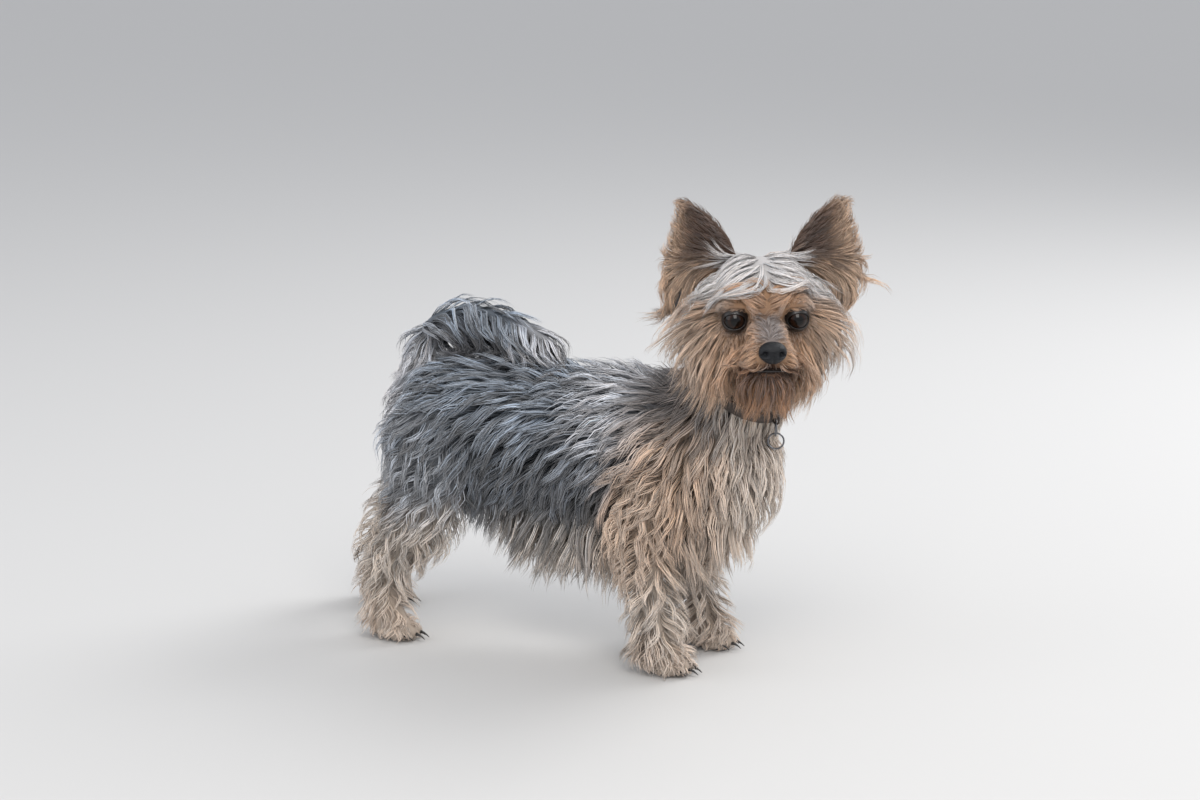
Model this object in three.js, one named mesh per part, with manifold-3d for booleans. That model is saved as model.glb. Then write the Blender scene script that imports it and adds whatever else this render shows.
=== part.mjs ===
import * as THREE from "three";
import { mergeVertices } from "three/addons/utils/BufferGeometryUtils.js";
import Module from "manifold-3d";

// A Yorkshire terrier standing square on its forelegs, one hind leg trailing, its head turned to
// its right and its tail curled over the back. Millimetres, +X towards the chest, +Y the dog's left.

// Driving sizes of the body
const WITHERS = 216;
const CHEST_HALF_WIDTH = 44;
const BACK_LENGTH = 262;
const CLEARANCE = 0.5;
const WELD = 0.04;
const GRID = 0.002;

// The sizes of the locks of hair, in length, width and thickness
const LOCKS = {
  flank: [58, 16, 4],
  fringe: [46, 13, 3.4],
  leg: [36, 12, 3.2],
  tail: [40, 10, 3],
  ruff: [50, 14, 4],
  face: [34, 11, 3],
  ear: [20, 7, 2],
};

// Where the head is held: the point midway between the eyes, its turn to the right and its nod
const EYE_LINE = new THREE.Vector3(191, -62, 277);
const HEAD_TURN = THREE.MathUtils.degToRad(-60);
const HEAD_NOD = THREE.MathUtils.degToRad(4);
const EYE_SPACING = 44.5;
const EYE_RADIUS = 8.2;

const DEG = Math.PI / 180;
const vec = (x, y, z) => new THREE.Vector3(x, y, z);
const mix = THREE.MathUtils.lerp;

const wasm = await Module();
wasm.setup();

// Closed solids from three.js geometry, and back again
function solidOf(geometry) {
  geometry.deleteAttribute("normal");
  geometry.deleteAttribute("uv");
  const merged = mergeVertices(geometry, 1e-3);
  return new wasm.Manifold(
    new wasm.Mesh({
      numProp: 3,
      vertProperties: new Float32Array(merged.attributes.position.array),
      triVerts: new Uint32Array(merged.index.array),
    }),
  );
}

function geometryOf(solid) {
  const mesh = solid.getMesh();
  const geometry = new THREE.BufferGeometry();
  geometry.setAttribute("position", new THREE.BufferAttribute(mesh.vertProperties, 3));
  geometry.setIndex(new THREE.BufferAttribute(mesh.triVerts, 1));
  geometry.computeVertexNormals();
  return geometry;
}

const snap = (value) => Math.round(value / GRID) * GRID;
const fuse = (solids) => wasm.Manifold.union(solids);
const cut = (solid, ...cutters) => solid.subtract(fuse(cutters));

// Corners go to a fine grid, and corners that would share a place are drawn a hair inwards, so
// that no two sheets of the surface touch.
function settled(solid) {
  const mesh = solid.getMesh();
  const geometry = new THREE.BufferGeometry();
  geometry.setAttribute("position", new THREE.BufferAttribute(mesh.vertProperties, 3));
  geometry.setIndex(new THREE.BufferAttribute(mesh.triVerts, 1));
  geometry.computeVertexNormals();
  const taken = new Set();
  const place = new THREE.Vector3();
  const normal = new THREE.Vector3();
  for (let i = 0; i < mesh.numVert; i++) {
    place.fromArray(mesh.vertProperties, i * 3);
    normal.fromBufferAttribute(geometry.attributes.normal, i);
    let key = "";
    do {
      const spot = place.toArray().map(snap);
      key = spot.map((value) => Math.round(value / GRID)).join();
      mesh.vertProperties.set(spot, i * 3);
      place.addScaledVector(normal, -3 * GRID);
    } while (taken.has(key));
    taken.add(key);
  }
  return new wasm.Manifold(mesh);
}

// The largest closed body of a solid, with any hollow that the joining sealed filled in
const biggest = (solid) => solid.decompose().sort((a, b) => b.volume() - a.volume())[0];
const largest = (solid) => settled(biggest(solid.simplify(WELD)));

// A repeatable random number from 0 to 1, and one spread evenly either side of zero
let seed = 7;
function random() {
  seed = (seed * 16807) % 2147483647;
  return seed / 2147483647;
}
const jitter = (spread) => (random() - 0.5) * 2 * spread;

// Moves every vertex of a geometry to where a function puts it
function shaped(geometry, place) {
  const position = geometry.attributes.position;
  const vertex = new THREE.Vector3();
  for (let i = 0; i < position.count; i++) {
    vertex.fromBufferAttribute(position, i);
    const put = place(vertex.x, vertex.y, vertex.z);
    position.setXYZ(i, put.x, put.y, put.z);
  }
  return geometry;
}

// A rounded form swept along a curve. Each station is [x, y, z, half width, half height, coat].
class Sweep {
  constructor(stations, { up, sides = 16, rows = 14, capStart = 0.12, capEnd = 0.12 }) {
    this.curve = new THREE.CatmullRomCurve3(stations.map((s) => vec(s[0], s[1], s[2])));
    this.sizes = stations.map((s) => s.slice(3));
    Object.assign(this, { up, sides, rows, capStart, capEnd });
    this.length = this.curve.getLength();
  }

  // The sizes at a share of the way along, eased between stations
  size(t) {
    const place = THREE.MathUtils.clamp(t, 0, 1) * (this.sizes.length - 1);
    const i = Math.min(Math.floor(place), this.sizes.length - 2);
    const share = THREE.MathUtils.smoothstep(place - i, 0, 1);
    return this.sizes[i].map((value, k) => mix(value, this.sizes[i + 1][k], share));
  }

  frame(t) {
    const centre = this.curve.getPoint(t);
    const tangent = this.curve.getTangent(t);
    const side = this.up.clone().cross(tangent).normalize();
    return { centre, tangent, side, rise: tangent.clone().cross(side) };
  }

  cap(t) {
    const start = 1 - Math.min(1, t / this.capStart);
    const end = 1 - Math.min(1, (1 - t) / this.capEnd);
    return Math.sqrt(Math.max(0, 1 - start * start)) * Math.sqrt(Math.max(0, 1 - end * end));
  }

  // A point of the surface: angle 0 is the left side and 90 degrees the rise, lifted off by some mm
  point(at, angle, lift = 0) {
    const t = THREE.MathUtils.clamp(at, 0, 1);
    const { centre, tangent, side, rise } = this.frame(t);
    const [width, height] = this.size(t);
    const cap = this.cap(t);
    return centre
      .addScaledVector(tangent, (at - t) * this.length)
      .addScaledVector(side, Math.cos(angle) * (width + lift) * cap)
      .addScaledVector(rise, Math.sin(angle) * (height + lift) * cap)
      .addScaledVector(tangent, lift * (t < 0.5 ? -1 : 1) * (1 - cap));
  }

  // A point of the coat: past either end it carries straight on, so locks flow off the form
  combPoint(at, angle, lift) {
    const t = THREE.MathUtils.clamp(at, this.capStart * 0.35, 1 - this.capEnd * 0.35);
    return this.point(t, angle, lift).addScaledVector(this.frame(t).tangent, (at - t) * this.length);
  }

  // The closed solid, with a share of the coat's depth on it and grown all over by some mm
  solid(coatShare = 0, grow = 0) {
    const ball = new THREE.SphereGeometry(1, this.sides, this.rows);
    return solidOf(
      shaped(ball, (x, y, z) => {
        const t = THREE.MathUtils.clamp((1 - y) / 2, 0, 1);
        const angle = Math.atan2(z, x);
        const coat = this.size(t)[2] * coatShare;
        return this.point(t, angle, coat + grow);
      }),
    );
  }
}

// A flat lock of hair that follows four points from its sunk root to its tip. Facing is outwards.
const LOCK_TAPER = [0.8, 1, 0.72, 0];
const LOCK_SWELL = 2;
function lock(points, facing, width, thick, grow = 0) {
  const cone = new THREE.ConeGeometry(1, 1, 3, 3);
  return solidOf(
    shaped(cone, (x, y, z) => {
      const row = Math.round((y + 0.5) * 3);
      const ring = row === 3 ? 0 : Math.round(Math.hypot(x, z) / (1 - row / 3));
      const along = points[Math.min(row + 1, 3)].clone().sub(points[Math.max(row - 1, 0)]).normalize();
      const side = along.clone().cross(facing).normalize();
      const off = side.clone().cross(along);
      const turn = Math.atan2(z, x);
      const put = points[row].clone();
      put.addScaledVector(side, Math.cos(turn) * ring * ((LOCK_TAPER[row] * width) / 2 + grow));
      put.addScaledVector(off, Math.sin(turn) * ring * ((LOCK_TAPER[row] * thick) / 2 + grow));
      if (row === 0 || row === 3) put.addScaledVector(along, grow * (row === 0 ? -1 : 2));
      return put;
    }),
  );
}

// The lift of a lock's four points off the skin, as a share of the coat's depth there
const LIFT = [-0.15, 0.66, 0.95, 0.88];

// Describes a lock combed over a swept form from a share t along it and an angle round it. The lie
// is the way the lock runs, as distances along and round the form, and droop pulls its tip down.
function combed(form, t, angle, [length, width, thick], [along, round], droop = 0, coatShare = 1) {
  const [halfWidth, halfHeight, coat] = form.size(t);
  const radius = (halfWidth + halfHeight) / 2 + coat * 0.7;
  const facing = form.point(t, angle, 9).sub(form.point(t, angle, 0)).normalize();
  const reach = Math.hypot(along, round);
  const points = LIFT.map((lift, i) => {
    const s = (i / 3) * length;
    const at = t + (along / reach) * (s / form.length);
    const turn = angle + (round / reach) * (s / radius);
    const point = form.combPoint(at, turn, lift * coat * coatShare);
    point.z -= droop * Math.pow(i / 3, 1.6);
    point.z = Math.max(point.z, 3 + thick);
    return point;
  });
  return { points, facing, width, thick };
}
const grownLock = ({ points, facing, width, thick }, grow = 0) =>
  lock(points, facing, width, thick, grow * LOCK_SWELL);

// An ellipsoid in the head's own frame, grown by some mm
function ellipsoid(centre, radii, grow = 0, sides = 16, rows = 12, tilt = 0) {
  const ball = new THREE.SphereGeometry(1, sides, rows);
  ball.rotateX(90 * DEG);
  ball.scale(...radii.map((r) => r + grow));
  ball.rotateY(tilt);
  ball.translate(...centre);
  return solidOf(ball);
}

// The head's own frame: x forwards, y to the dog's left, z up, from the point between the eyes
const head = new THREE.Object3D();
head.position.copy(EYE_LINE);
head.rotation.set(0, HEAD_NOD, HEAD_TURN, "ZYX");
head.updateMatrixWorld(true);
const toWorld = (solid) => solid.transform(head.matrixWorld.elements);

// The finished solids, by node
const nodes = [];
const node = (name, solid, look) => nodes.push({ name, solid: largest(solid), look });

const STEEL_COAT = { color: 0x5d6470, roughness: 0.75 };
const TAN_COAT = { color: 0xb08a68, roughness: 0.8 };
const PALE_COAT = { color: 0xc9b9a6, roughness: 0.8 };
const EYE = { color: 0x14100e, roughness: 0.1 };
const NOSE = { color: 0x17181b, roughness: 0.4 };
const COLLAR = { color: 0x2c231f, roughness: 0.7 };
const RING = { color: 0x4a4a4e, roughness: 0.3, metalness: 1 };

// How much of the coat's depth the solid core takes up under the locks
const CORE_SHARE = 0.5;

// The eyes: two balls in the head's frame, x forwards, y to the dog's left, z up
const eyeCentre = (side) => [-7, (side * EYE_SPACING) / 2, 0];
const eye = (side, grow = 0) =>
  toWorld(ellipsoid(eyeCentre(side), [EYE_RADIUS, EYE_RADIUS, EYE_RADIUS], grow, 12, 8));

// Lids as a thin shell round each eye, and the almond opening between them
const LID = 1.3;
const lids = (side) =>
  toWorld(ellipsoid(eyeCentre(side), [EYE_RADIUS + LID, EYE_RADIUS + LID, EYE_RADIUS + LID], 0, 10, 7));
const eyeOpening = (side) =>
  toWorld(ellipsoid([4, (side * EYE_SPACING) / 2 + side * 1.2, 0.2], [12, 7.6, 6.4], 0, 14, 8));

// The nose leather, with two comma nostrils opening forwards and out
const NOSE_CENTRE = [30, 0, -15];
function nose(grow = 0) {
  const pad = ellipsoid(NOSE_CENTRE, [7, 9.8, 8], grow, 12, 9);
  if (grow > 0) return toWorld(pad);
  const nostrils = [-1, 1].map((side) =>
    ellipsoid([36, side * 5, -15.5], [4, 2.2, 1.8], 0, 8, 6, side * 0.1),
  );
  return toWorld(cut(pad, ...nostrils));
}

// The skull, muzzle, cheeks and jaw, with a share of the coat's depth over them
function skull(coat, grow = 0) {
  const g = grow;
  const brainCase = ellipsoid([-32, 0, 9], [36 + g, 31 + 13 * coat + g, 31 + 10 * coat + g], 0, 14, 9);
  const cheeks = [-1, 1].map((side) =>
    ellipsoid(
      [-26, side * (18 + 14 * coat), -10 - 8 * coat],
      [20 + 3 * coat + g, 14 + 26 * coat + g, 19 + 26 * coat + g],
      0,
      9,
      6,
    ),
  );
  const muzzle = ellipsoid([8, 0, -15], [25 + g, 15 + 3 * coat + g, 12 + g], 0, 12, 8);
  const jaw = ellipsoid([-2, 0, -28 - 10 * coat], [21 + g, 11 + 20 * coat + g, 9 + 22 * coat + g], 0, 10, 6);
  return toWorld(fuse([brainCase, ...cheeks, muzzle, jaw]));
}

// The mouth: a thin groove that runs back along both sides of the muzzle
function mouth() {
  return toWorld(ellipsoid([8, 0, -25], [24, 16, 0.8], 0, 20, 8));
}

// Each ear stands up from the skull, its cup open forwards, with a rounded tip. Its two edges are
// given from the base to the tip as [out to the side, up], and the leather is hollowed between them.
const EAR_INNER_EDGE = [
  [15, 34],
  [23, 52],
  [36, 67],
  [50, 77],
];
const EAR_OUTER_EDGE = [
  [57, 6],
  [64, 28],
  [63, 52],
  [57, 74],
];
const EAR_CUP = 13;
const EAR_THICK = 3;
const EAR_BACK = -44;
const LEFT_EAR_WIDER = 5;
const edgeCurve = (edge) => new THREE.CatmullRomCurve3(edge.map(([y, z]) => vec(0, y, z)));
const innerEdge = edgeCurve(EAR_INNER_EDGE);
const outerEdge = edgeCurve(EAR_OUTER_EDGE);
function ear(side, grow = 0) {
  const slab = new THREE.BoxGeometry(2, 1, 1, 6, 6, 1);
  shaped(slab, (x, y, z) => {
    const up = y + 0.5;
    const from = innerEdge.getPoint(up);
    const to = outerEdge.getPoint(up);
    const across = to.clone().sub(from);
    const middle = from.clone().add(to).multiplyScalar(0.5);
    const round = Math.sqrt(1 - Math.pow(up, 5) * 0.75);
    const spread = (x / 2) * round * (1 + (2 * grow) / across.length());
    const cup = EAR_CUP * mix(1, 0.3, up) * (x * x - 0.5);
    const thick = EAR_THICK * mix(1, 0.55, up) + 2 * grow;
    const place = middle.addScaledVector(across, spread);
    place.z += (up - 0.5) * 2 * grow;
    place.x = EAR_BACK - place.z * 0.1 + cup + z * thick;
    return place;
  });
  const left = solidOf(slab);
  return toWorld(side > 0 ? left.translate([0, LEFT_EAR_WIDER, 1]) : left.mirror([0, 1, 0]));
}

// The trunk from the rump to the breast
const torso = new Sweep(
  [
    [-140, 0, 168, 34, 36, 14],
    [-108, 0, 168, 39, 46, 15],
    [-60, 0, 165, 37, 50, 15],
    [-10, 0, 158, 42, 56, 17],
    [40, 0, 154, 45, 60, 17],
    [88, 0, 155, CHEST_HALF_WIDTH, 61, 17],
    [128, 0, 154, 39, 54, 22],
    [158, 0, 151, 31, 41, 27],
  ],
  { up: vec(0, 0, 1), sides: 16, rows: 13, capStart: 0.14, capEnd: 0.16 },
);

// The neck, from the shoulders up to the back of the skull
const neck = new Sweep(
  [
    [108, 0, 170, 38, 40, 10],
    [134, -2, 198, 33, 35, 10],
    [154, -9, 226, 30, 31, 10],
    [168, -22, 254, 28, 28, 8],
    [176, -32, 276, 24, 24, 6],
  ],
  { up: vec(0.8, 0, -0.6), sides: 14, rows: 10 },
);

// The collar: a flat band round the neck, and a loop at its front with two linked rings
const COLLAR_CENTRE = vec(154, -7, 220);
const COLLAR_AXIS = vec(0.557, -0.247, 0.794).normalize();
const COLLAR_RADIUS = 35;
const COLLAR_WIDTH = 9;
const COLLAR_THICK = 2.2;
function band(grow = 0) {
  const inner = COLLAR_RADIUS - grow;
  const outer = COLLAR_RADIUS + COLLAR_THICK + grow;
  const half = COLLAR_WIDTH / 2 + grow;
  const profile = [
    [inner, -half],
    [outer, -half],
    [outer, half],
    [inner, half],
    [inner, -half],
  ].map(([r, y]) => new THREE.Vector2(r, y));
  const ring = new THREE.LatheGeometry(profile, 32);
  ring.applyQuaternion(new THREE.Quaternion().setFromUnitVectors(vec(0, 1, 0), COLLAR_AXIS));
  ring.translate(...COLLAR_CENTRE);
  return solidOf(ring);
}

// A wire ring: centre, radius, wire radius and the direction of its axis
function wireRing(centre, radius, wire, axis, segments = 18) {
  const ring = new THREE.TorusGeometry(radius, wire, 6, segments);
  ring.applyQuaternion(new THREE.Quaternion().setFromUnitVectors(vec(0, 0, 1), axis.normalize()));
  ring.translate(...centre);
  return solidOf(ring);
}
const front = vec(0, 0, -1).addScaledVector(COLLAR_AXIS, COLLAR_AXIS.z).normalize();
const across = COLLAR_AXIS.clone().cross(front).normalize();
const loopCentre = COLLAR_CENTRE.clone().addScaledVector(front, COLLAR_RADIUS + COLLAR_THICK + 1.6);
const collarLoop = wireRing(loopCentre, 3, 0.8, across.clone(), 12);
const RING_RADIUS = 5.8;
const RING_WIRE = 0.65;
const RING_TWIST = 42 * DEG;
const ringDrop = vec(0, 0, -RING_RADIUS);
const ringFacing = (twist) =>
  vec(across.x, across.y, 0).cross(vec(0, 0, 1)).applyAxisAngle(vec(0, 0, 1), twist);
const upperCentre = loopCentre.clone().add(ringDrop);
const lowerCentre = upperCentre.clone().addScaledVector(vec(0, 0, -1), 2 * RING_RADIUS - 2 * RING_WIRE - 0.5);
const upperRing = (wire) => wireRing(upperCentre, RING_RADIUS, wire, ringFacing(RING_TWIST));
const lowerRing = (wire) => wireRing(lowerCentre, RING_RADIUS, wire, ringFacing(-RING_TWIST));

// The legs, each from the trunk to the pads. Fore: elbow, carpus, paw. Hind: thigh, stifle, hock, paw.
const LEG_SPREAD = 38;
const foreleg = (side, foot) =>
  new Sweep(
    [
      [foot - 6, side * (LEG_SPREAD - 4), 142, 18, 26, 12],
      [foot - 12, side * (LEG_SPREAD - 1), 112, 15, 20, 13],
      [foot - 6, side * LEG_SPREAD, 76, 11, 13, 14],
      [foot - 1, side * LEG_SPREAD, 44, 10, 11, 13],
      [foot + 3, side * LEG_SPREAD, 22, 13, 14, 10],
      [foot + 8, side * LEG_SPREAD, 6, 15, 19, 6],
    ],
    { up: vec(1, 0, 0.15), sides: 10, rows: 11, capStart: 0.1, capEnd: 0.1 },
  );
const hindleg = (side, hip, stifle, hock, foot) =>
  new Sweep(
    [
      [hip, side * 30, 166, 20, 34, 12],
      [(hip + stifle) / 2, side * 37, 138, 19, 32, 14],
      [(stifle + hock) / 2 + 10, side * 42, 104, 16, 26, 16],
      [hock + 12, side * 43, 70, 11, 15, 15],
      [hock, side * 43, 46, 9, 11, 14],
      [hock + 6, side * 43, 24, 11, 13, 10],
      [foot, side * 43, 7, 14, 20, 6],
    ],
    { up: vec(1, 0, 0.15), sides: 10, rows: 12, capStart: 0.1, capEnd: 0.1 },
  );
const legs = {
  foreleg_right: foreleg(-1, 95),
  foreleg_left: foreleg(1, 98),
  hindleg_right: hindleg(-1, -100, -82, -134, -126),
  hindleg_left: hindleg(1, -106, -118, -186, -180),
};

// The tail, curled up and forwards over the croup, in two lengths
const tail = {
  tail_base: new Sweep(
    [
      [-112, 0, 196, 10, 10, 8],
      [-114, 0, 218, 9, 9, 11],
      [-106, 0, 240, 8, 8, 13],
      [-88, -1, 251, 7, 7, 13],
    ],
    { up: vec(0, 1, 0), sides: 8, rows: 8 },
  ),
  tail_tip: new Sweep(
    [
      [-84, -1, 251, 7, 7, 13],
      [-58, -3, 252, 6, 6, 13],
      [-28, -6, 246, 5, 5, 13],
      [0, -11, 236, 3, 3, 9],
    ],
    { up: vec(0, 1, 0), sides: 8, rows: 8 },
  ),
};

// A paw: a low pad with four toes and a claw at the end of each, for a foot at x on the side y
const TOES = [
  [13, -9.5, 7, 8],
  [19, -3.6, 7.5, 9],
  [19, 3.6, 7.5, 9],
  [13, 9.5, 7, 8],
];
function paw(x, y) {
  const pad = ellipsoid([x + 2, y, 9], [18, 14.5, 13], 0, 8, 6);
  const toes = TOES.map(([along, out, high, long]) =>
    ellipsoid([x + along, y + out, high], [long, 5.4, 8], 0, 6, 4),
  );
  const claws = TOES.map(([along, out, high, long]) => {
    const claw = new THREE.ConeGeometry(1.5, 8, 4);
    claw.rotateZ(-108 * DEG);
    claw.translate(x + along + long + 1, y + out, high - 3);
    return solidOf(claw);
  });
  return fuse([pad, ...toes, ...claws]);
}
const paws = {
  foreleg_right: paw(97, -LEG_SPREAD),
  foreleg_left: paw(100, LEG_SPREAD),
  hindleg_right: paw(-130, -43),
  hindleg_left: paw(-184, 43),
};

// Everything below the floor plane is cut off flat, so the dog stands on its pads
function aboveFloor(solid) {
  const slab = new THREE.BoxGeometry(900, 600, 200);
  slab.translate(0, 0, -100);
  return solid.subtract(solidOf(slab));
}

// The locks of the trunk: from the parting on the spine the coat runs back and down each side
function trunkLocks() {
  const locks = [];
  for (let row = 0; row < 6; row++) {
    const t = 0.92 - row * 0.14;
    for (const side of [-1, 1]) {
      for (let column = 0; column < 4; column++) {
        const down = 14 + column * 33 + (row % 2) * 16 + jitter(4);
        if (t > 0.78 && down < 62) continue;
        const lie = [-1, side * -mix(0.25, 1.5, down / 150)];
        const angle = (90 - side * down) * DEG;
        const size = down < 110 ? LOCKS.flank : LOCKS.fringe;
        locks.push(combed(torso, t + jitter(0.012), angle, size, lie, down > 75 ? 8 : 0));
      }
    }
  }
  // The fringe that hangs below the brisket and the belly
  for (let i = 0; i < 7; i++) {
    for (const side of [-1, 1]) {
      const angle = (90 - side * (128 + (i % 2) * 14 + jitter(4))) * DEG;
      const t = 0.84 - i * 0.088 + jitter(0.01);
      locks.push(combed(torso, t, angle, LOCKS.fringe, [-0.5, -side], 16 + 4 * random()));
    }
  }
  // The bib on the breast, and the breeching over the rump
  for (let i = 0; i < 6; i++) {
    const angle = (i * 60 + 18 + jitter(8)) * DEG;
    const fallsRound = Math.cos(angle) > 0 ? -1 : 1;
    locks.push(combed(torso, 0.965, angle, LOCKS.fringe, [-0.6, fallsRound * 0.9], 10));
    locks.push(combed(torso, 0.06, angle, LOCKS.fringe, [0.25, fallsRound], 12));
  }
  return locks;
}

// The locks of a leg, in rings from the elbow or the thigh down to just above the floor
function legLocks(form, rings, perRing) {
  const locks = [];
  for (let ring = 0; ring < rings; ring++) {
    const t = mix(0.34, 0.78, ring / (rings - 1));
    for (let i = 0; i < perRing; i++) {
      const angle = ((i + (ring % 2) * 0.5) * (360 / perRing) + jitter(10)) * DEG;
      const towardsBack = Math.cos(angle) * (Math.sin(angle) > -0.9 ? -0.35 : 0);
      locks.push(combed(form, t, angle, LOCKS.leg, [1, towardsBack]));
    }
  }
  return locks;
}

// The locks of the tail run along it and fall to either side
function tailLocks(form, rings, perRing, from, to, fall) {
  const locks = [];
  for (let ring = 0; ring < rings; ring++) {
    for (let i = 0; i < perRing; i++) {
      const angle = ((i + (ring % 2) * 0.5) * (360 / perRing) + jitter(9)) * DEG;
      const t = mix(from, to, ring / (rings - 1));
      locks.push(combed(form, t, angle, LOCKS.tail, [1, Math.sin(angle) * -fall]));
    }
  }
  return locks;
}

// The locks of the neck lie down over it, above the collar
function neckLocks() {
  const locks = [];
  for (let i = 0; i < 6; i++) {
    const angle = (i * 60 + jitter(8)) * DEG;
    locks.push(combed(neck, 0.86, angle, LOCKS.fringe, [-1, 0.1], 0));
  }
  return locks;
}

// Where the head's coat ends, seen from the front: [turn from straight up in degrees, reach in mm]
const HEAD_REACH = [
  [0, 51],
  [40, 50],
  [70, 66],
  [95, 73],
  [125, 77],
  [155, 78],
  [180, 72],
];
const RIGHT_RUFF_WIDER = 6;
function headReach(turn) {
  const i = Math.min(HEAD_REACH.length - 2, HEAD_REACH.findIndex(([at]) => turn <= at) - 1);
  const from = HEAD_REACH[Math.max(0, i)];
  const to = HEAD_REACH[Math.max(0, i) + 1];
  return mix(from[1], to[1], (turn - from[0]) / (to[0] - from[0]));
}

// Describes a lock on the head from a root and a tip in its own frame, bowed outwards between
function faceLock(root, tip, bow, [, width, thick]) {
  const from = vec(...root);
  const to = vec(...tip);
  const out = from.clone().add(to).multiplyScalar(0.5).sub(vec(-30, 0, 0)).normalize();
  const points = [0, 1 / 3, 2 / 3, 1].map((s) =>
    from.clone().lerp(to, s).addScaledVector(out, bow * 4 * s * (1 - s)).applyMatrix4(head.matrixWorld),
  );
  return { points, facing: out.transformDirection(head.matrixWorld), width, thick };
}

function headLocks() {
  const locks = [];
  for (const side of [-1, 1]) {
    // The ruff: a back ring to the outline, and a front ring over the cheeks
    for (let i = 0; i < 8; i++) {
      const turn = 68 + i * 15 + jitter(3);
      const reach = headReach(turn) * (0.97 + 0.06 * random()) + (side < 0 ? RIGHT_RUFF_WIDER : 0);
      const [y, z] = [Math.sin(turn * DEG) * side, Math.cos(turn * DEG)];
      const x = mix(-44, -8, THREE.MathUtils.smoothstep(turn, 100, 170));
      locks.push(faceLock([x, y * 22, z * 22], [x - 5, y * reach, z * reach - 7], 9, LOCKS.ruff));
    }
    for (let i = 0; i < 4; i++) {
      const turn = 94 + i * 19 + jitter(3);
      const reach = headReach(turn) * (0.84 + 0.08 * random()) + (side < 0 ? RIGHT_RUFF_WIDER : 0);
      const [y, z] = [Math.sin(turn * DEG) * side, Math.cos(turn * DEG)];
      const x = mix(-22, 2, THREE.MathUtils.smoothstep(turn, 100, 170));
      locks.push(faceLock([x, y * 24, z * 24 - 6], [x - 3, y * reach, z * reach - 9], 9, LOCKS.ruff));
    }
    // The crown, from the parting out over the brow and down beside the ears
    for (let i = 0; i < 4; i++) {
      const x = -14 - i * 14;
      locks.push(faceLock([x, side * 3, 36], [x - 4, side * (34 + i), 31 - i * 1.5], 10 - i * 0.5, LOCKS.face));
    }
    // The moustache
    for (let i = 0; i < 2; i++) {
      const x = 18 - i * 11;
      locks.push(faceLock([x, side * 6, -19], [x - 8, side * (24 + i * 3), -42 - i * 3], 5, LOCKS.face));
    }
  }
  // The beard and the nape
  for (let i = 0; i < 5; i++) {
    const y = (i - 2) * 8;
    locks.push(faceLock([6, y * 0.6, -34], [0 - Math.abs(y) * 0.4, y * 1.3, -68 + Math.abs(y) * 0.2], 2, LOCKS.face));
    if (i % 2 === 0) locks.push(faceLock([-58, y * 1.2, 16], [-74, y * 2, -14], 6, LOCKS.face));
  }
  return locks;
}

// The fringe down the outer edge of an ear, and the tuft over the foot of it
function earLocks(side) {
  const locks = [];
  const wider = side > 0 ? LEFT_EAR_WIDER : 0;
  for (let i = 0; i < 5; i++) {
    const edge = outerEdge.getPoint(0.88 - i * 0.19);
    const out = side * (edge.y + wider);
    const drop = 7 + i * 2;
    const root = [EAR_BACK - edge.z * 0.1 + 3, out - side * 6, edge.z];
    const tip = [EAR_BACK - 3, out + side * (9 + i), edge.z - drop];
    locks.push(faceLock(root, tip, 2, LOCKS.ear));
  }
  return locks;
}

const built = (core, locks, grow = 0) => fuse([core, ...locks.map((one) => grownLock(one, grow))]);

// The nodes, each cut clear of those before it by the clearance
const eyes = [-1, 1].map((side) => eye(side));
const eyeHoles = [-1, 1].map((side) => eye(side, CLEARANCE));
const openings = [-1, 1].map((side) => eyeOpening(side));
const lidded = fuse([skull(CORE_SHARE), lids(-1), lids(1)]);
const faceCoat = headLocks();
const coated = built(lidded, faceCoat);
const skullSolid = cut(coated, ...eyeHoles, ...openings, nose(CLEARANCE), mouth());
const skullGrown = built(skull(CORE_SHARE, CLEARANCE), faceCoat, CLEARANCE);
const earCoats = { ear_right: earLocks(-1), ear_left: earLocks(1) };
const ears = {
  ear_right: built(ear(-1), earCoats.ear_right),
  ear_left: built(ear(1), earCoats.ear_left),
};
const collar = band().add(collarLoop);
const bandGrown = band(CLEARANCE);
const rings = [upperRing(RING_WIRE + CLEARANCE), lowerRing(RING_WIRE + CLEARANCE)];
const headGrown = fuse([skullGrown, built(ear(-1, CLEARANCE), earCoats.ear_right, CLEARANCE)]);
const trunkCoat = trunkLocks();
const trunk = cut(built(torso.solid(CORE_SHARE), trunkCoat), headGrown, bandGrown, ...rings);
const trunkGrown = built(torso.solid(CORE_SHARE, CLEARANCE), trunkCoat, CLEARANCE);

node("head", skullSolid, TAN_COAT);
node("nose", nose(), NOSE);
node("eye_right", eyes[0], EYE);
node("eye_left", eyes[1], EYE);
node("ear_right", cut(ears.ear_right, skullGrown), TAN_COAT);
node("ear_left", cut(ears.ear_left, skullGrown), TAN_COAT);
node("collar", collar, COLLAR);
node("ring_upper", upperRing(RING_WIRE), RING);
node("ring_lower", lowerRing(RING_WIRE), RING);
node("torso", trunk, STEEL_COAT);
const neckCoat = built(neck.solid(CORE_SHARE * 0.4), neckLocks());
node("neck", cut(neckCoat, headGrown, trunkGrown, bandGrown, ...rings), PALE_COAT);
for (const [name, leg] of Object.entries(legs)) {
  const coat = legLocks(leg, 3, 4);
  const limb = fuse([built(leg.solid(CORE_SHARE), coat), paws[name]]);
  node(name, aboveFloor(cut(limb, trunkGrown)), TAN_COAT);
}
const baseCoat = tailLocks(tail.tail_base, 3, 4, 0.3, 0.66, 0.2);
const tipCoat = tailLocks(tail.tail_tip, 3, 4, 0.1, 0.7, 0.3);
node("tail_base", cut(built(tail.tail_base.solid(CORE_SHARE), baseCoat), trunkGrown), STEEL_COAT);
const tailGrown = built(tail.tail_base.solid(CORE_SHARE, CLEARANCE), baseCoat, CLEARANCE);
const tipSolid = built(tail.tail_tip.solid(CORE_SHARE), tipCoat);
node("tail_tip", cut(tipSolid, trunkGrown, tailGrown), STEEL_COAT);

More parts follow.
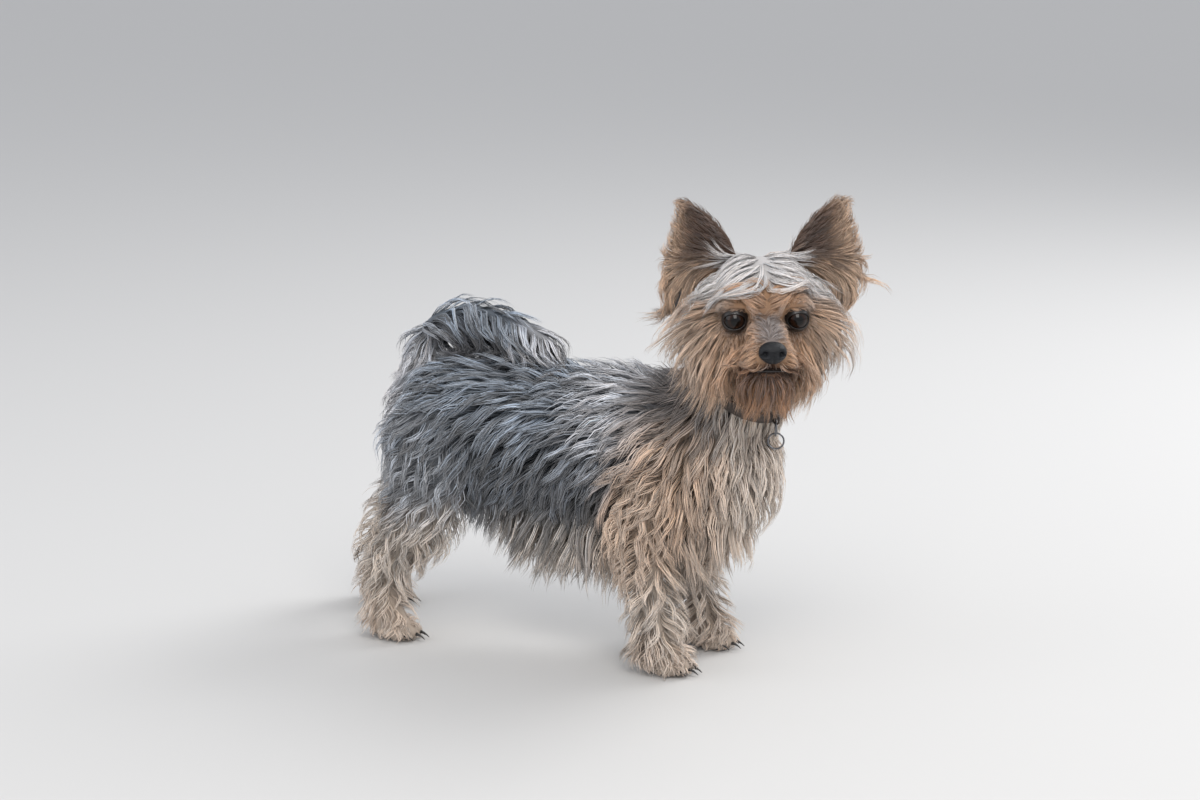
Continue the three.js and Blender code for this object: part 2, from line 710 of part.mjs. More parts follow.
// Where two nodes still touch, the later one gets a small relief there
const RELIEF = 0.25;
nodes.forEach((one, i) => {
  for (const other of nodes.slice(i + 1)) {
    const common = one.solid.intersect(other.solid);
    for (const touch of common.decompose()) {
      const { min, max } = touch.boundingBox();
      const size = max.map((value, k) => value - min[k] + 2 * RELIEF);
      const bite = wasm.Manifold.cube(size).translate(min.map((value) => value - RELIEF));
      other.solid = largest(other.solid.subtract(bite));
    }
  }
});

// The origin is the middle of the footprint, at the floor
const extent = new THREE.Box3();
for (const { solid } of nodes) {
  const { min, max } = solid.boundingBox();
  extent.union(new THREE.Box3(vec(...min), vec(...max)));
}
const middle = extent.getCenter(vec(0, 0, 0));

const dog = new THREE.Group();
for (const { name, solid, look } of nodes) {
  const placed = largest(solid.translate([-middle.x, -middle.y, -extent.min.z]));
  const mesh = new THREE.Mesh(geometryOf(placed), new THREE.MeshStandardMaterial(look));
  mesh.name = name;
  dog.add(mesh);
}

export default dog;
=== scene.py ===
import math

import bmesh
import bpy
import numpy as np
from mathutils import Euler, Matrix, Vector
from mathutils.bvhtree import BVHTree


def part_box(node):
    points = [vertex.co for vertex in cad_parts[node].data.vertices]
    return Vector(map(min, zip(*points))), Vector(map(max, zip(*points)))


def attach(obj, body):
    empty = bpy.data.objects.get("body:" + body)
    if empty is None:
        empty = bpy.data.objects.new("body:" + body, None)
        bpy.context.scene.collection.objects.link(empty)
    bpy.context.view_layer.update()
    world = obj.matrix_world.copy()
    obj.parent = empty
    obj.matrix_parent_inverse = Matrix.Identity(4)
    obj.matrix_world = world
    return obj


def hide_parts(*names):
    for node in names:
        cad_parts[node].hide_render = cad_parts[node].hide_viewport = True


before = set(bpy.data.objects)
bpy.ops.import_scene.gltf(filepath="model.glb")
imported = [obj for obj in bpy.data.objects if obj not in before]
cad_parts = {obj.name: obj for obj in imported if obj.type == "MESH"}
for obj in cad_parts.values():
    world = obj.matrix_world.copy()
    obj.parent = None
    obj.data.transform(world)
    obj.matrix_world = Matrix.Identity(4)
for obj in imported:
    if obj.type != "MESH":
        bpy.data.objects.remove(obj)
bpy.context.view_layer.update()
bpy.ops.object.select_all(action="DESELECT")

# The skin lies under the whole coat: one closed surface over trunk, neck, head, ears, legs and tail.
# It is made of balls of flesh set along every form and fused, and it takes the place of those solids.
# Sizes are millimetres in the dog's own plan: x towards the chest, y to its left, z up from the floor.
EYE_LINE = np.array([191.0, -62.0, 277.0])
EYE_BEHIND = 7.0
EYE_ASIDE = 22.25
HEAD_TURN = Euler((0, math.radians(4), math.radians(-60)), "XYZ").to_matrix()
HEAD_AXES = np.array(HEAD_TURN)


def middle_of(node):
    low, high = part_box(node)
    return np.array((low + high) / 2) * 1000


# The head has a frame of its own, which starts just in front of the point midway between the eyes.
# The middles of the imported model's two eyes set where the whole plan stands.
eye_middles = {side: middle_of("eye_" + side) for side in ("left", "right")}
SHIFT = (eye_middles["left"] + eye_middles["right"]) / 2 - (EYE_LINE + HEAD_AXES @ [-EYE_BEHIND, 0, 0])


def to_frame(points):
    return (np.asarray(points, float) + SHIFT) / 1000


def from_frame(points):
    return np.asarray(points, float) * 1000 - SHIFT


def head_to_dog(points):
    return np.asarray(points, float) @ HEAD_AXES.T + EYE_LINE


def dog_to_head(points):
    return (np.asarray(points, float) - EYE_LINE) @ HEAD_AXES


# Trunk, neck, legs and tail are each a run of stations along a bent line: x, y, z, half width, half
# height and the depth that the coat stands to over it.
FORELEG = [
    (89, -34, 142, 17, 25, 12),
    (83, -37, 112, 14, 19, 13),
    (89, -38, 76, 10, 12, 15),
    (94, -38, 44, 9, 10, 15),
    (98, -38, 22, 11, 12, 11),
    (102, -38, 12, 13, 15, 7),
]
LEFT_FORELEG_AHEAD = 3
FORMS = {
    "torso": [
        (-116, 0, 171, 30, 31, 12),
        (-98, 0, 169, 36, 42, 14),
        (-60, 0, 165, 36, 49, 16),
        (-10, 0, 158, 41, 54, 17),
        (40, 0, 154, 44, 57, 17),
        (88, 0, 155, 43, 58, 17),
        (124, 0, 155, 37, 50, 19),
        (144, 0, 152, 28, 36, 20),
    ],
    "neck": [
        (108, 0, 176, 36, 34, 14),
        (134, -2, 198, 32, 32, 14),
        (154, -9, 226, 29, 29, 12),
        (168, -22, 254, 27, 27, 12),
        (176, -32, 272, 24, 24, 10),
    ],
    "foreleg_right": FORELEG,
    "foreleg_left": [(x + LEFT_FORELEG_AHEAD, -y, *rest) for x, y, *rest in FORELEG],
    "hindleg_right": [
        (-100, -30, 166, 19, 33, 14),
        (-91, -37, 138, 18, 31, 15),
        (-98, -42, 104, 15, 24, 17),
        (-122, -43, 70, 10, 13, 17),
        (-134, -43, 46, 8, 10, 16),
        (-130, -43, 24, 10, 11, 11),
        (-127, -43, 12, 12, 14, 7),
    ],
    "hindleg_left": [
        (-106, 30, 166, 19, 33, 14),
        (-112, 37, 138, 18, 31, 15),
        (-142, 42, 104, 15, 24, 17),
        (-174, 43, 70, 10, 13, 17),
        (-186, 43, 46, 8, 10, 16),
        (-182, 43, 24, 10, 11, 11),
        (-180, 43, 12, 12, 14, 7),
    ],
    "tail": [
        (-112, 0, 196, 12, 12, 16),
        (-115, 0, 218, 10, 10, 16),
        (-107, 0, 239, 9, 9, 15),
        (-85, -1, 249, 8, 8, 14),
        (-58, -3, 250, 7, 7, 14),
        (-28, -6, 244, 6, 6, 14),
        (-4, -10, 235, 4, 4, 12),
    ],
}


def run(name, count):
    """Points along a form on a smooth line, with the way it runs and its sizes."""
    stations = np.array(FORMS[name], float)
    at = np.linspace(0, len(stations) - 1, count)
    i = np.minimum(at.astype(int), len(stations) - 2)
    t = (at - i)[:, None]
    before = stations[np.maximum(i - 1, 0)]
    after = stations[np.minimum(i + 2, len(stations) - 1)]
    here, there = stations[i], stations[i + 1]
    rows = 0.5 * (
        2 * here
        + (there - before) * t
        + (2 * before - 5 * here + 4 * there - after) * t**2
        + (3 * here - before - 3 * there + after) * t**3
    )
    way = np.gradient(rows[:, :3], axis=0)
    return rows, way / np.linalg.norm(way, axis=1)[:, None]


# Short balls are set along every form and on the head, the ear leathers are joined on, and all of it
# is fused and smoothed.
BALL_SPACING = 0.55
BALL_LENGTH = 0.8
skin_balls = []


def ball(centre, radii, turn=None):
    """A ball of flesh in the dog's plan, turned by a matrix where it needs it."""
    bpy.ops.mesh.primitive_uv_sphere_add(segments=20, ring_count=12, radius=1)
    piece = bpy.context.object
    spin = (turn or Matrix.Identity(3)).to_4x4()
    stretch = Matrix.Diagonal((*[r / 1000 for r in radii], 1))
    piece.data.transform(Matrix.Translation(to_frame(centre)) @ spin @ stretch)
    skin_balls.append(piece)


for name, stations in FORMS.items():
    length = np.linalg.norm(np.diff(np.array(stations)[:, :3], axis=0), axis=1).sum()
    thin = min(s[3] for s in stations)
    rows, ways = run(name, int(length / (thin * BALL_SPACING)) + 2)
    for row, way in zip(rows, ways):
        side = np.array([0.0, 1.0, 0.0])
        side -= way * (side @ way)
        side /= np.linalg.norm(side)
        rise = np.cross(way, side)
        spin = Matrix((way, side, rise)).transposed()
        ball(row[:3], (min(row[3], row[4]) * BALL_LENGTH, row[3], row[4]), spin)

# The head's flesh: skull, brows, cheeks, muzzle, lips and jaw, in the head's own frame.
HEAD_FLESH = [
    ((-32, 0, 9), (35, 30, 30)),
    ((-20, 0, 16), (20, 22, 17)),
    ((-9, 20, 7), (9, 12, 8)),
    ((-9, -20, 7), (9, 12, 8)),
    ((-27, 19, -11), (20, 20, 25)),
    ((-27, -19, -11), (20, 20, 25)),
    ((4, 0, -10), (22, 12, 11)),
    ((15, 0, -14), (15, 11.5, 10)),
    ((13, 7.5, -21), (15, 8.5, 9)),
    ((13, -7.5, -21), (15, 8.5, 9)),
    ((1, 0, -35), (21, 13, 7)),
    ((-14, 0, -28), (20, 19, 13)),
]
for centre, radii in HEAD_FLESH:
    ball(head_to_dog(centre), radii, HEAD_TURN)

# The paws: a low pad and four toes each. A toe has its place along and across the paw, its height and
# its half length.
TOE_HALF_WIDTH = 5.2
TOE_HALF_HEIGHT = 6.6
PAWS = {
    "foreleg_right": (97, -38),
    "foreleg_left": (100, 38),
    "hindleg_right": (-130, -43),
    "hindleg_left": (-184, 43),
}
TOES = [(13, -9.5, 7, 8), (19, -3.6, 7.5, 9), (19, 3.6, 7.5, 9), (13, 9.5, 7, 8)]
for x, y in PAWS.values():
    ball((x + 2, y, 9.5), (17, 14, 9))
    for along, out, high, long in TOES:
        ball((x + along, y + out, high), (long, TOE_HALF_WIDTH, TOE_HALF_HEIGHT))

# The ear leathers stand up from the skull, each one a curved sheet hollowed forwards.
EAR_INNER = np.array([(15, 34), (23, 52), (36, 67), (50, 77)], float)
EAR_OUTER = np.array([(57, 6), (64, 28), (63, 52), (57, 74)], float)
EAR_CUP = 13.0
EAR_BACK = -44.0
LEFT_EAR_WIDER = 5.0
EAR_WALL = 0.0034


def along_edge(edge, up):
    at = np.clip(up * 3, 0, 2.999)
    i = at.astype(int)
    return edge[i] + (edge[i + 1] - edge[i]) * (at - i)[:, None]


def ear_points(side, across, up):
    """Places on an ear in the head's frame: across from -1 at the inner edge, up from 0 at the base."""
    inner, outer = along_edge(EAR_INNER, up), along_edge(EAR_OUTER, up)
    close = np.sqrt(1 - np.clip(up, 0, 1) ** 5 * 0.75)
    place = (inner + outer) / 2 + (outer - inner) / 2 * (across * close)[:, None]
    x = EAR_BACK - place[:, 1] * 0.1 + EAR_CUP * (1 - 0.7 * up) * (across**2 - 0.5)
    wider = LEFT_EAR_WIDER if side > 0 else 0
    return np.stack([x, side * (place[:, 0] + wider), place[:, 1] + (side > 0)], 1)


def read(items, field, size, kind=float):
    """One field of a mesh's items, a row for each."""
    values = np.zeros(len(items) * size, kind)
    items.foreach_get(field, values)
    return values.reshape(-1, size)


def places(piece):
    return read(piece.data.vertices, "co", 3)


def set_places(piece, rows):
    piece.data.vertices.foreach_set("co", rows.ravel())


for side in (-1, 1):
    bpy.ops.mesh.primitive_grid_add(x_subdivisions=18, y_subdivisions=22, size=2)
    leather = bpy.context.object
    flat = places(leather)
    set_places(leather, to_frame(head_to_dog(ear_points(side, flat[:, 0], (flat[:, 1] + 1) / 2))))
    wall = leather.modifiers.new("wall", "SOLIDIFY")
    wall.thickness = EAR_WALL
    wall.offset = 0
    bpy.context.view_layer.objects.active = leather
    bpy.ops.object.modifier_apply(modifier="wall")
    skin_balls.append(leather)

VOXEL = 0.0017
bpy.ops.object.select_all(action="DESELECT")
for piece in skin_balls:
    piece.select_set(True)
bpy.context.view_layer.objects.active = skin_balls[0]
bpy.ops.object.join()
skin = bpy.context.object
skin.name = "skin"
fuse = skin.modifiers.new("fuse", "REMESH")
fuse.mode = "VOXEL"
fuse.voxel_size = VOXEL
bpy.ops.object.modifier_apply(modifier="fuse")
relax = skin.modifiers.new("relax", "SMOOTH")
relax.factor = 0.5
relax.iterations = 5
bpy.ops.object.modifier_apply(modifier="relax")

# The sockets: the skin is drawn in behind each eyeball, where the lids take its place.
SOCKET_WIDTH = 10.2
SOCKET_HEIGHT = 9.2
SOCKET_DEPTH = 4.0
sunk = dog_to_head(from_frame(places(skin)))
for side in (-1, 1):
    from_eye = sunk - [-EYE_BEHIND, side * EYE_ASIDE, 0]
    off_axis = np.hypot(from_eye[:, 1] / SOCKET_WIDTH, from_eye[:, 2] / SOCKET_HEIGHT)
    front = (from_eye[:, 0] > -SOCKET_DEPTH) & (off_axis < 1.0)
    sunk[front, 0] = -EYE_BEHIND - SOCKET_DEPTH + 0.2 * (from_eye[front, 0] + SOCKET_DEPTH)
set_places(skin, to_frame(head_to_dog(sunk)))
bpy.ops.object.mode_set(mode="EDIT")
bpy.ops.mesh.select_all(action="SELECT")
bpy.ops.uv.smart_project(angle_limit=math.radians(66), island_margin=0.002)
bpy.ops.object.mode_set(mode="OBJECT")
skin.data.uv_layers[0].name = "OFBake"
bpy.ops.object.shade_smooth()

# The fine grain that skin, hair, lids and leather share: a noise that also raises the surface.
grain = bpy.data.node_groups.new("fine_grain", "ShaderNodeTree")
grain.interface.new_socket("Place", in_out="INPUT", socket_type="NodeSocketVector")
for name in ("Scale", "Detail", "Strength", "Distance"):
    grain.interface.new_socket(name, in_out="INPUT", socket_type="NodeSocketFloat")
grain.interface.new_socket("Grain", in_out="OUTPUT", socket_type="NodeSocketFloat")
grain.interface.new_socket("Normal", in_out="OUTPUT", socket_type="NodeSocketVector")
taken = grain.nodes.new("NodeGroupInput")
given = grain.nodes.new("NodeGroupOutput")
noise = grain.nodes.new("ShaderNodeTexNoise")
raised = grain.nodes.new("ShaderNodeBump")
grain.links.new(taken.outputs["Place"], noise.inputs["Vector"])
for name in ("Scale", "Detail"):
    grain.links.new(taken.outputs[name], noise.inputs[name])
for name in ("Strength", "Distance"):
    grain.links.new(taken.outputs[name], raised.inputs[name])
grain.links.new(noise.outputs["Fac"], raised.inputs["Height"])
grain.links.new(noise.outputs["Fac"], given.inputs["Grain"])
grain.links.new(raised.outputs["Normal"], given.inputs["Normal"])


def finish(name):
    """A new material, with its nodes, its links and its shader."""
    material = bpy.data.materials.new(name)
    material.use_nodes = True
    tree = material.node_tree
    return material, tree.nodes, tree.links, tree.nodes["Principled BSDF"]


def lay_grain(nodes, links, surface, scale, distance, strength=1.0, detail=2.0, where=None):
    """Places the grain in a material, on Object coordinates where no others are given."""
    laid = nodes.new("ShaderNodeGroup")
    laid.node_tree = grain
    laid.inputs["Scale"].default_value = scale
    laid.inputs["Detail"].default_value = detail
    laid.inputs["Strength"].default_value = strength
    laid.inputs["Distance"].default_value = distance
    if where is None:
        where = nodes.new("ShaderNodeTexCoord").outputs["Object"]
    links.new(where, laid.inputs["Place"])
    links.new(laid.outputs["Normal"], surface.inputs["Normal"])
    return laid


skin_finish, nodes, links, surface = finish("skin_under_coat")
marking = nodes.new("ShaderNodeVertexColor")
marking.layer_name = "coat_colour"
links.new(marking.outputs["Color"], surface.inputs["Base Color"])
lay_grain(nodes, links, surface, 1400, 0.0006, strength=0.4)
surface.inputs["Roughness"].default_value = 0.75
skin.data.materials.clear()
skin.data.materials.append(skin_finish)
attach(skin, "root")
FLESH = ["head", "neck", "torso", "tail_base", "tail_tip", "ear_left", "ear_right"]
FLESH += ["foreleg_left", "foreleg_right", "hindleg_left", "hindleg_right"]
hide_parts(*FLESH)

# The coat is long, silky hair, steel and ink on the trunk and tail, fawn to cream elsewhere, and it
# grows from the skin. Its lie, length, depth and colours are worked out at every corner of the skin
# from where that is, then evened out along the surface so that no part meets the next in a line.
spot = places(skin)
count = len(spot)
normal = read(skin.data.vertices, "normal", 3)
dog = from_frame(spot)
face = dog_to_head(dog)
face_normal = normal @ HEAD_AXES
edges = read(skin.data.edges, "vertices", 2, int)

RUN_STEPS = 48
PARTS = list(FORMS)
nearest = np.full(count, 1e9)
part = np.zeros(count, int)
way_here = np.zeros((count, 3))
share = np.zeros(count)
depth_here = np.zeros(count)
for index, name in enumerate(PARTS):
    rows, ways = run(name, RUN_STEPS)
    for k, (row, way) in enumerate(zip(rows, ways)):
        gap = np.linalg.norm(dog - row[:3], axis=1) / ((row[3] + row[4]) / 2)
        closer = gap < nearest
        nearest[closer] = gap[closer]
        part[closer] = index
        way_here[closer] = way
        share[closer] = k / (RUN_STEPS - 1)
        depth_here[closer] = row[5]

on_head = (np.linalg.norm((face - [-28, 0, -2]) / [1, 1, 1.05], axis=1) < 46) | (face[:, 0] > -18)
on_head &= face[:, 2] > -42
on_ear = (face[:, 2] > 14) & (np.abs(face[:, 1]) > 12) & (face[:, 0] < -34) & (face[:, 0] > -66)
on_ear &= (np.linalg.norm((face - [-32, 0, 9]) / [36, 31, 31], axis=1) > 1.03) & (face[:, 2] < 90)
out = np.sign(face[:, 1])[:, None]
X, Y, Z = face.T
aside = np.abs(face[:, 1])

down = np.array([0, 0, -1.0])
back = np.array([-1.0, 0, 0])


def is_part(*names):
    return np.isin(part, [PARTS.index(n) for n in names])


def smooth(value, low, high):
    t = np.clip((value - low) / (high - low), 0, 1)
    return t * t * (3 - 2 * t)


legs = is_part("foreleg_right", "foreleg_left", "hindleg_right", "hindleg_left")
lie = np.tile(back, (count, 1))
length = np.full(count, 46.0)
depth = depth_here.copy()
hang = np.full(count, 0.05)
curl = np.full(count, 0.8)
width = np.full(count, 1.25)
density = np.full(count, 1.0)

# Trunk: back along the spine, turning down over the ribs, straight down in the belly fringe.
trunk = is_part("torso", "neck")
low = np.clip((225 - dog[:, 2]) / 110, 0, 1)
chest = smooth(dog[:, 0], 85, 160)
facing_down = np.clip(-normal[:, 2], 0, 1)
fall = np.clip(0.2 + 0.7 * low + 0.7 * chest, 0, 1.25)[:, None]
lie[trunk] = (back * (1.15 - fall * 0.85) + down * fall)[trunk]
belly = trunk & (dog[:, 2] < 124)
hang[belly] = 0.45
length[belly] = 64 - 24 * smooth(-dog[belly, 0], 0, 70)
depth[belly] = 16 + 34 * facing_down[belly]
length[trunk & (chest > 0.5)] = 46
hang[trunk & (chest > 0.5)] = 0.16
rump = trunk & (dog[:, 0] < -104)
lie[rump] = lie[rump] * 0.35 + down * 0.9 + back * 0.1
length[rump] = 34
depth[rump] = 11
hang[rump] = 0.1

# Legs: back and down from the elbow and stifle, curling, and short on the feet.
lie[legs] = (down + back * (0.2 + 0.5 * smooth(dog[:, 2], 70, 130))[:, None])[legs]
length[legs] = 36 - 8 * smooth(share[legs], 0.6, 1.0)
hang[legs] = 0.12
curl[legs] = 1.6
feet = legs & (dog[:, 2] < 20)
length[feet] = 15
depth[feet] = 5
width[legs] = 0.95
front_legs = legs & (dog[:, 0] > 0) & (dog[:, 2] > 18) & (dog[:, 2] < 125)
depth[front_legs] = depth[front_legs] * 1.35
toes = legs & (dog[:, 2] < 10)
length[toes] = 8
depth[toes] = 2.5
width[toes] = 0.7

# Tail: silver and short at the root, then along it and falling to both sides as a curtain.
tail = is_part("tail")
tail_root = tail & (share < 0.3)
lie[tail] = (way_here * 0.75 + down * 0.55)[tail]
lie[tail_root] = (way_here * 0.1 + down * 0.55 + back * 0.35)[tail_root]
length[tail] = 48
length[tail_root] = 32
hang[tail] = 0.3 + 0.25 * facing_down[tail]
hang[tail_root] = 0.15 + 0.3 * facing_down[tail_root]
curl[tail] = 0.9
width[tail] = 0.95
depth[tail] += 18 * facing_down[tail]

# Head: parted on the midline, out and down over brow and cheek, down in the beard and moustache.
# At the sides it stands far out from the skull, in the round outline of the breed.
width[on_head] = 0.8
sides = smooth(aside, 10, 29) * (1 - smooth(Z, 36, 46)) * smooth(-X, 0, 18)
depth[on_head] = (9 + 34 * sides)[on_head]
length[on_head] = (44 + 20 * sides)[on_head]
hang[on_head] = (0.06 + 0.08 * sides)[on_head]
curl[on_head] = 0.5
head_lie = np.zeros((count, 3))


def lay_over(amount, to_side, fixed):
    """Turns the head's lie by a share towards a way that mirrors on the midline."""
    head_lie[:] = head_lie * (1 - amount) + amount * (out * [0, to_side, 0] + fixed)


crown = smooth(Z, -2, 16)[:, None]
muzzle = smooth(X, -10, 6)[:, None]
head_lie += crown * (out * [0, 1.0, 0] + [-0.1, 0, -0.22])
head_lie += (1 - crown) * (out * [0, 0.42, 0] + [-0.2, 0, -0.85])
bridge = muzzle * smooth(Z, -14, -6)[:, None]
lay_over(bridge, 0.75, [-0.7, 0, 0.1])
side_muzzle = muzzle * (1 - smooth(Z, -14, -6))[:, None]
lay_over(side_muzzle, 0.75, [-0.25, 0, -0.7])
under = smooth(-Z, 28, 34)[:, None]
lay_over(under, 0.1, [0.05, 0, -1])
nape = smooth(-X, 44, 60)[:, None] * (1 - crown * 0.4)
lay_over(nape, 0.35, [-0.5, 0, -0.8])
head_lie += (sides * smooth(Z, -8, 4))[:, None] * out * [0, 0.5, 0]
parting = ((1 - smooth(aside, 2, 9)) * smooth(Z, 24, 32))[:, None]
lay_over(parting, 0.7, [0.5, 0, -0.5])
lie[on_head] = (head_lie @ HEAD_AXES.T)[on_head]
jowls = on_head & (aside > 14) & (Z < -12)
hang[jowls] = 0.2
length[jowls] = 54
depth[jowls] = 30
snout = on_head & (X > -4) & (Z > -16)
length[snout] = 9 + 12 * smooth(-X[snout], -14, 4)
depth[snout] = 3.2
curl[snout] = 0.2
width[snout] = 0.5
lips = on_head & (X > -4) & (Z <= -16) & (Z > -29)
lie[lips] = ((out * [0, 0.95, 0] + [-0.3, 0, -0.38]) @ HEAD_AXES.T)[lips]
length[lips] = 13 + 19 * smooth(np.abs(Y[lips]), 4, 13)
depth[lips] = 5
hang[lips] = 0.12
width[lips] = 0.6
chin = on_head & (Z <= -29) & (X > -22)
length[chin] = 36
depth[chin] = 12 + 26 * facing_down[chin]
hang[chin] = 0.4
lie[chin] = (head_lie[chin] + out[chin] * [0, 0.25, 0]) @ HEAD_AXES.T
eye_gap = np.minimum(
    np.linalg.norm(face - [-EYE_BEHIND, EYE_ASIDE, 0], axis=1),
    np.linalg.norm(face - [-EYE_BEHIND, -EYE_ASIDE, 0], axis=1),
)
by_eye = on_head & (eye_gap < 18) & (X > -16)
length[by_eye] = 5 + 17 * smooth(eye_gap[by_eye], 11, 18)
depth[by_eye] = 1.0 + 4 * smooth(eye_gap[by_eye], 11, 18)
width[by_eye] = 0.5
curl[by_eye] = 0.1
away = face - np.stack([np.full(count, -EYE_BEHIND), EYE_ASIDE * np.sign(Y), np.zeros(count)], 1)
away = away * [0, 1, 1] + out * [0, 3, 0] + [0, 0, -2.0]
lie[by_eye] = (away @ HEAD_AXES.T / 12 + lie * 0.5)[by_eye]
forehead = on_head & (Z > 8) & (X > -34) & ~by_eye
depth[forehead] = (7 + 22 * smooth(aside, 15, 30))[forehead]
length[forehead] = 56
brow = on_head & (Z > 5) & (Z < 21) & (aside < 24) & (X > -24) & ~by_eye
length[brow] = 20
depth[brow] = 5
lie[brow] = ((out * [0, 0.85, 0] + [-0.4, 0, 0.4]) @ HEAD_AXES.T)[brow]

# Ears: down and out at the root, out across the leather, then up to the tip, with a short fringe.
rise_up = (-0.75 + 1.5 * smooth(Z, 12, 56))[:, None]
ear_lie = out * [0, 0.9, 0] + [-0.05, 0, 0] + np.array([0, 0, 1]) * rise_up
lie[on_ear] = (ear_lie @ HEAD_AXES.T)[on_ear]
near_root = 1 - smooth(Z, 12, 46)
length[on_ear] = (12 + 40 * near_root)[on_ear]
depth[on_ear] = (2.5 + 8 * near_root)[on_ear]
width[on_ear] = 0.5
curl[on_ear] = 0.2
hang[on_ear] = (0.22 * near_root)[on_ear]
ear_edge = on_ear & (aside > 52) & (Z > 26)
depth[ear_edge] = 4
near_ear = on_head & (Z > 28) & (aside > 13) & (X < -28)
length[near_ear] = 24
depth[near_ear] = 7

# How far the roots are tousled, and how thickly each part is grown.
ruffle = np.full(count, 0.1)
ruffle[on_head & (aside < 9) & (Z > 22)] = 0.4
ruffle[brow & (aside < 10)] = 0.5
parting_line = on_head & (aside < 7) & (Z > 10)
GROWN = [(on_head, 2.6), (on_ear, 2.6), (on_ear & (Z < 40), 3.6), (parting_line, 4.5), (brow, 5.0)]
GROWN += [(by_eye, 5.5), (snout, 4.5), (lips, 3.6), (toes, 2.0), (feet, 1.6), (tail, 2.4)]
GROWN += [(legs & ~feet, 1.25)]
for mask, value in GROWN:
    density[mask] = value

# The markings, and painted shade under the tail, along the mouth and in the ears: every colour is laid over
# the ones before it, by where it lies on the dog.
STEEL = (0.20, 0.235, 0.28)
INK_AND_SHADE = (0.018, 0.022, 0.032)
SILVER = (0.68, 0.67, 0.69)
WHITE = (0.86, 0.83, 0.82)
FAWN = (0.70, 0.49, 0.34)
CREAM = (0.84, 0.73, 0.63)
GOLD = (0.60, 0.33, 0.17)
RUST = (0.27, 0.12, 0.05)
BROWN_AND_SHADE = (0.20, 0.115, 0.07)
GREY = (0.30, 0.26, 0.25)
EAR_DARK_AND_SHADE = (0.085, 0.045, 0.03)
shade = np.tile(np.array(STEEL), (count, 1))
spread = np.full(count, 0.3)


def paint(mask, colour, strength=1.0):
    """Lays a colour over the coat by a share between 0 and 1."""
    amount = np.clip(mask * strength, 0, 1)[:, None]
    shade[:] = shade * (1 - amount) + np.array(colour) * amount


x, y, z = dog.T
paint(trunk * (1 - smooth(z, 145, 195)) * smooth(x, -110, 10), INK_AND_SHADE, 0.74)
paint(trunk * smooth(x, 20, 70) * smooth(z, 150, 190), SILVER, 0.6)
paint(trunk * smooth(x + (165 - z) * 0.5, 60, 110), FAWN, 0.9)
paint(trunk * smooth(x, 125, 160), CREAM, 0.95)
paint(trunk * (1 - smooth(z, 104, 136)) * smooth(x, -80, -20), CREAM, 0.75)
paint(trunk * (1 - smooth(x, -134, -88)), SILVER, 0.95)
paint(trunk * smooth(x, 78, 108) * smooth(z, 182, 212) * (1 - smooth(x, 150, 166)), INK_AND_SHADE, 0.8)
paint(legs, CREAM)
paint(legs * smooth(z, 88, 130) * (x < 0), STEEL, 0.9)
paint(legs * smooth(z, 50, 110) * (x > 0), FAWN, 0.75)
paint(legs * (1 - smooth(z, 25, 60)), FAWN, 0.35)
paint(tail, STEEL)
# Painted shade: the tail's down-facing side and the inside of its arch are darkened towards ink, partly for
# the black hair there and partly as painted shade.
paint(tail * smooth(share, 0.2, 0.35) * smooth(-normal[:, 2], -0.55, 0.1), INK_AND_SHADE, 0.95)
black_hair_and_shade_in_arch = smooth(share, 0.25, 0.4) * (1 - smooth(share, 0.66, 0.8)) * (1 - smooth(normal[:, 2], 0.3, 0.75))
paint(tail * black_hair_and_shade_in_arch, INK_AND_SHADE, 0.85)
paint(tail * smooth(share, 0.72, 0.85), SILVER, 0.6)
paint(tail * (1 - smooth(share, 0.12, 0.4)), SILVER, 0.9)
paint(on_head, FAWN)
paint(on_head * smooth(aside, 26, 40) * (1 - smooth(Z, 10, 24)), CREAM, 0.4)
white_from = Z - 27 + 0.018 * Y**2
paint(on_head * smooth(white_from, -4, 4) * (Z > 4) * (1 - smooth(-X, 46, 60)), WHITE, 1.0)
paint(on_head * smooth(-X, 50, 62) * (Z > -6) * (1 - smooth(aside, 18, 28)), INK_AND_SHADE, 0.4)
brow_band = (1 - smooth(white_from, -6, 2)) * smooth(Z, 0, 6)
brow_band = brow_band * (1 - smooth(aside, 24, 34)) * smooth(X, -32, -18)
paint(on_head * brow_band, GOLD, 0.95)
paint(on_head * smooth(X, -24, -4) * (1 - smooth(Z, 0, 8)), GOLD, 0.75)
paint(on_head * smooth(X, 0, 8) * smooth(Z, -16, -8) * (1 - smooth(aside, 5, 9)), GREY, 0.8)
paint(on_head * (1 - smooth(aside, 2, 6)) * smooth(X, -14, -4) * (1 - smooth(Z, 2, 8)), GREY, 0.7)
paint(on_head * smooth(-Z, 20, 27) * smooth(X, -18, 2), RUST, 0.85)
paint(on_head * smooth(-Z, 35, 40) * smooth(X, -30, -10), GOLD, 0.5)
# Painted shadow: a dark band of hair along the mouth line, where the moustache shades it.
paint(on_head * (1 - smooth(np.abs(Z + 31), 1, 3)) * (aside < 18) * (X > 2), INK_AND_SHADE, 0.8)
# Painted shade: dark brown at both sides of the mouth, between the chin and the jowls.
shade_at_mouth_corners = (1 - smooth(np.abs(aside - 18), 4, 9)) * (1 - smooth(np.abs(Z + 31), 2, 6))
paint(on_head * shade_at_mouth_corners * (X > -12), BROWN_AND_SHADE, 0.8)
paint(on_head * (1 - smooth(eye_gap, 10.5, 14)) * (X > -12), BROWN_AND_SHADE, 0.9)
paint(on_ear, BROWN_AND_SHADE)
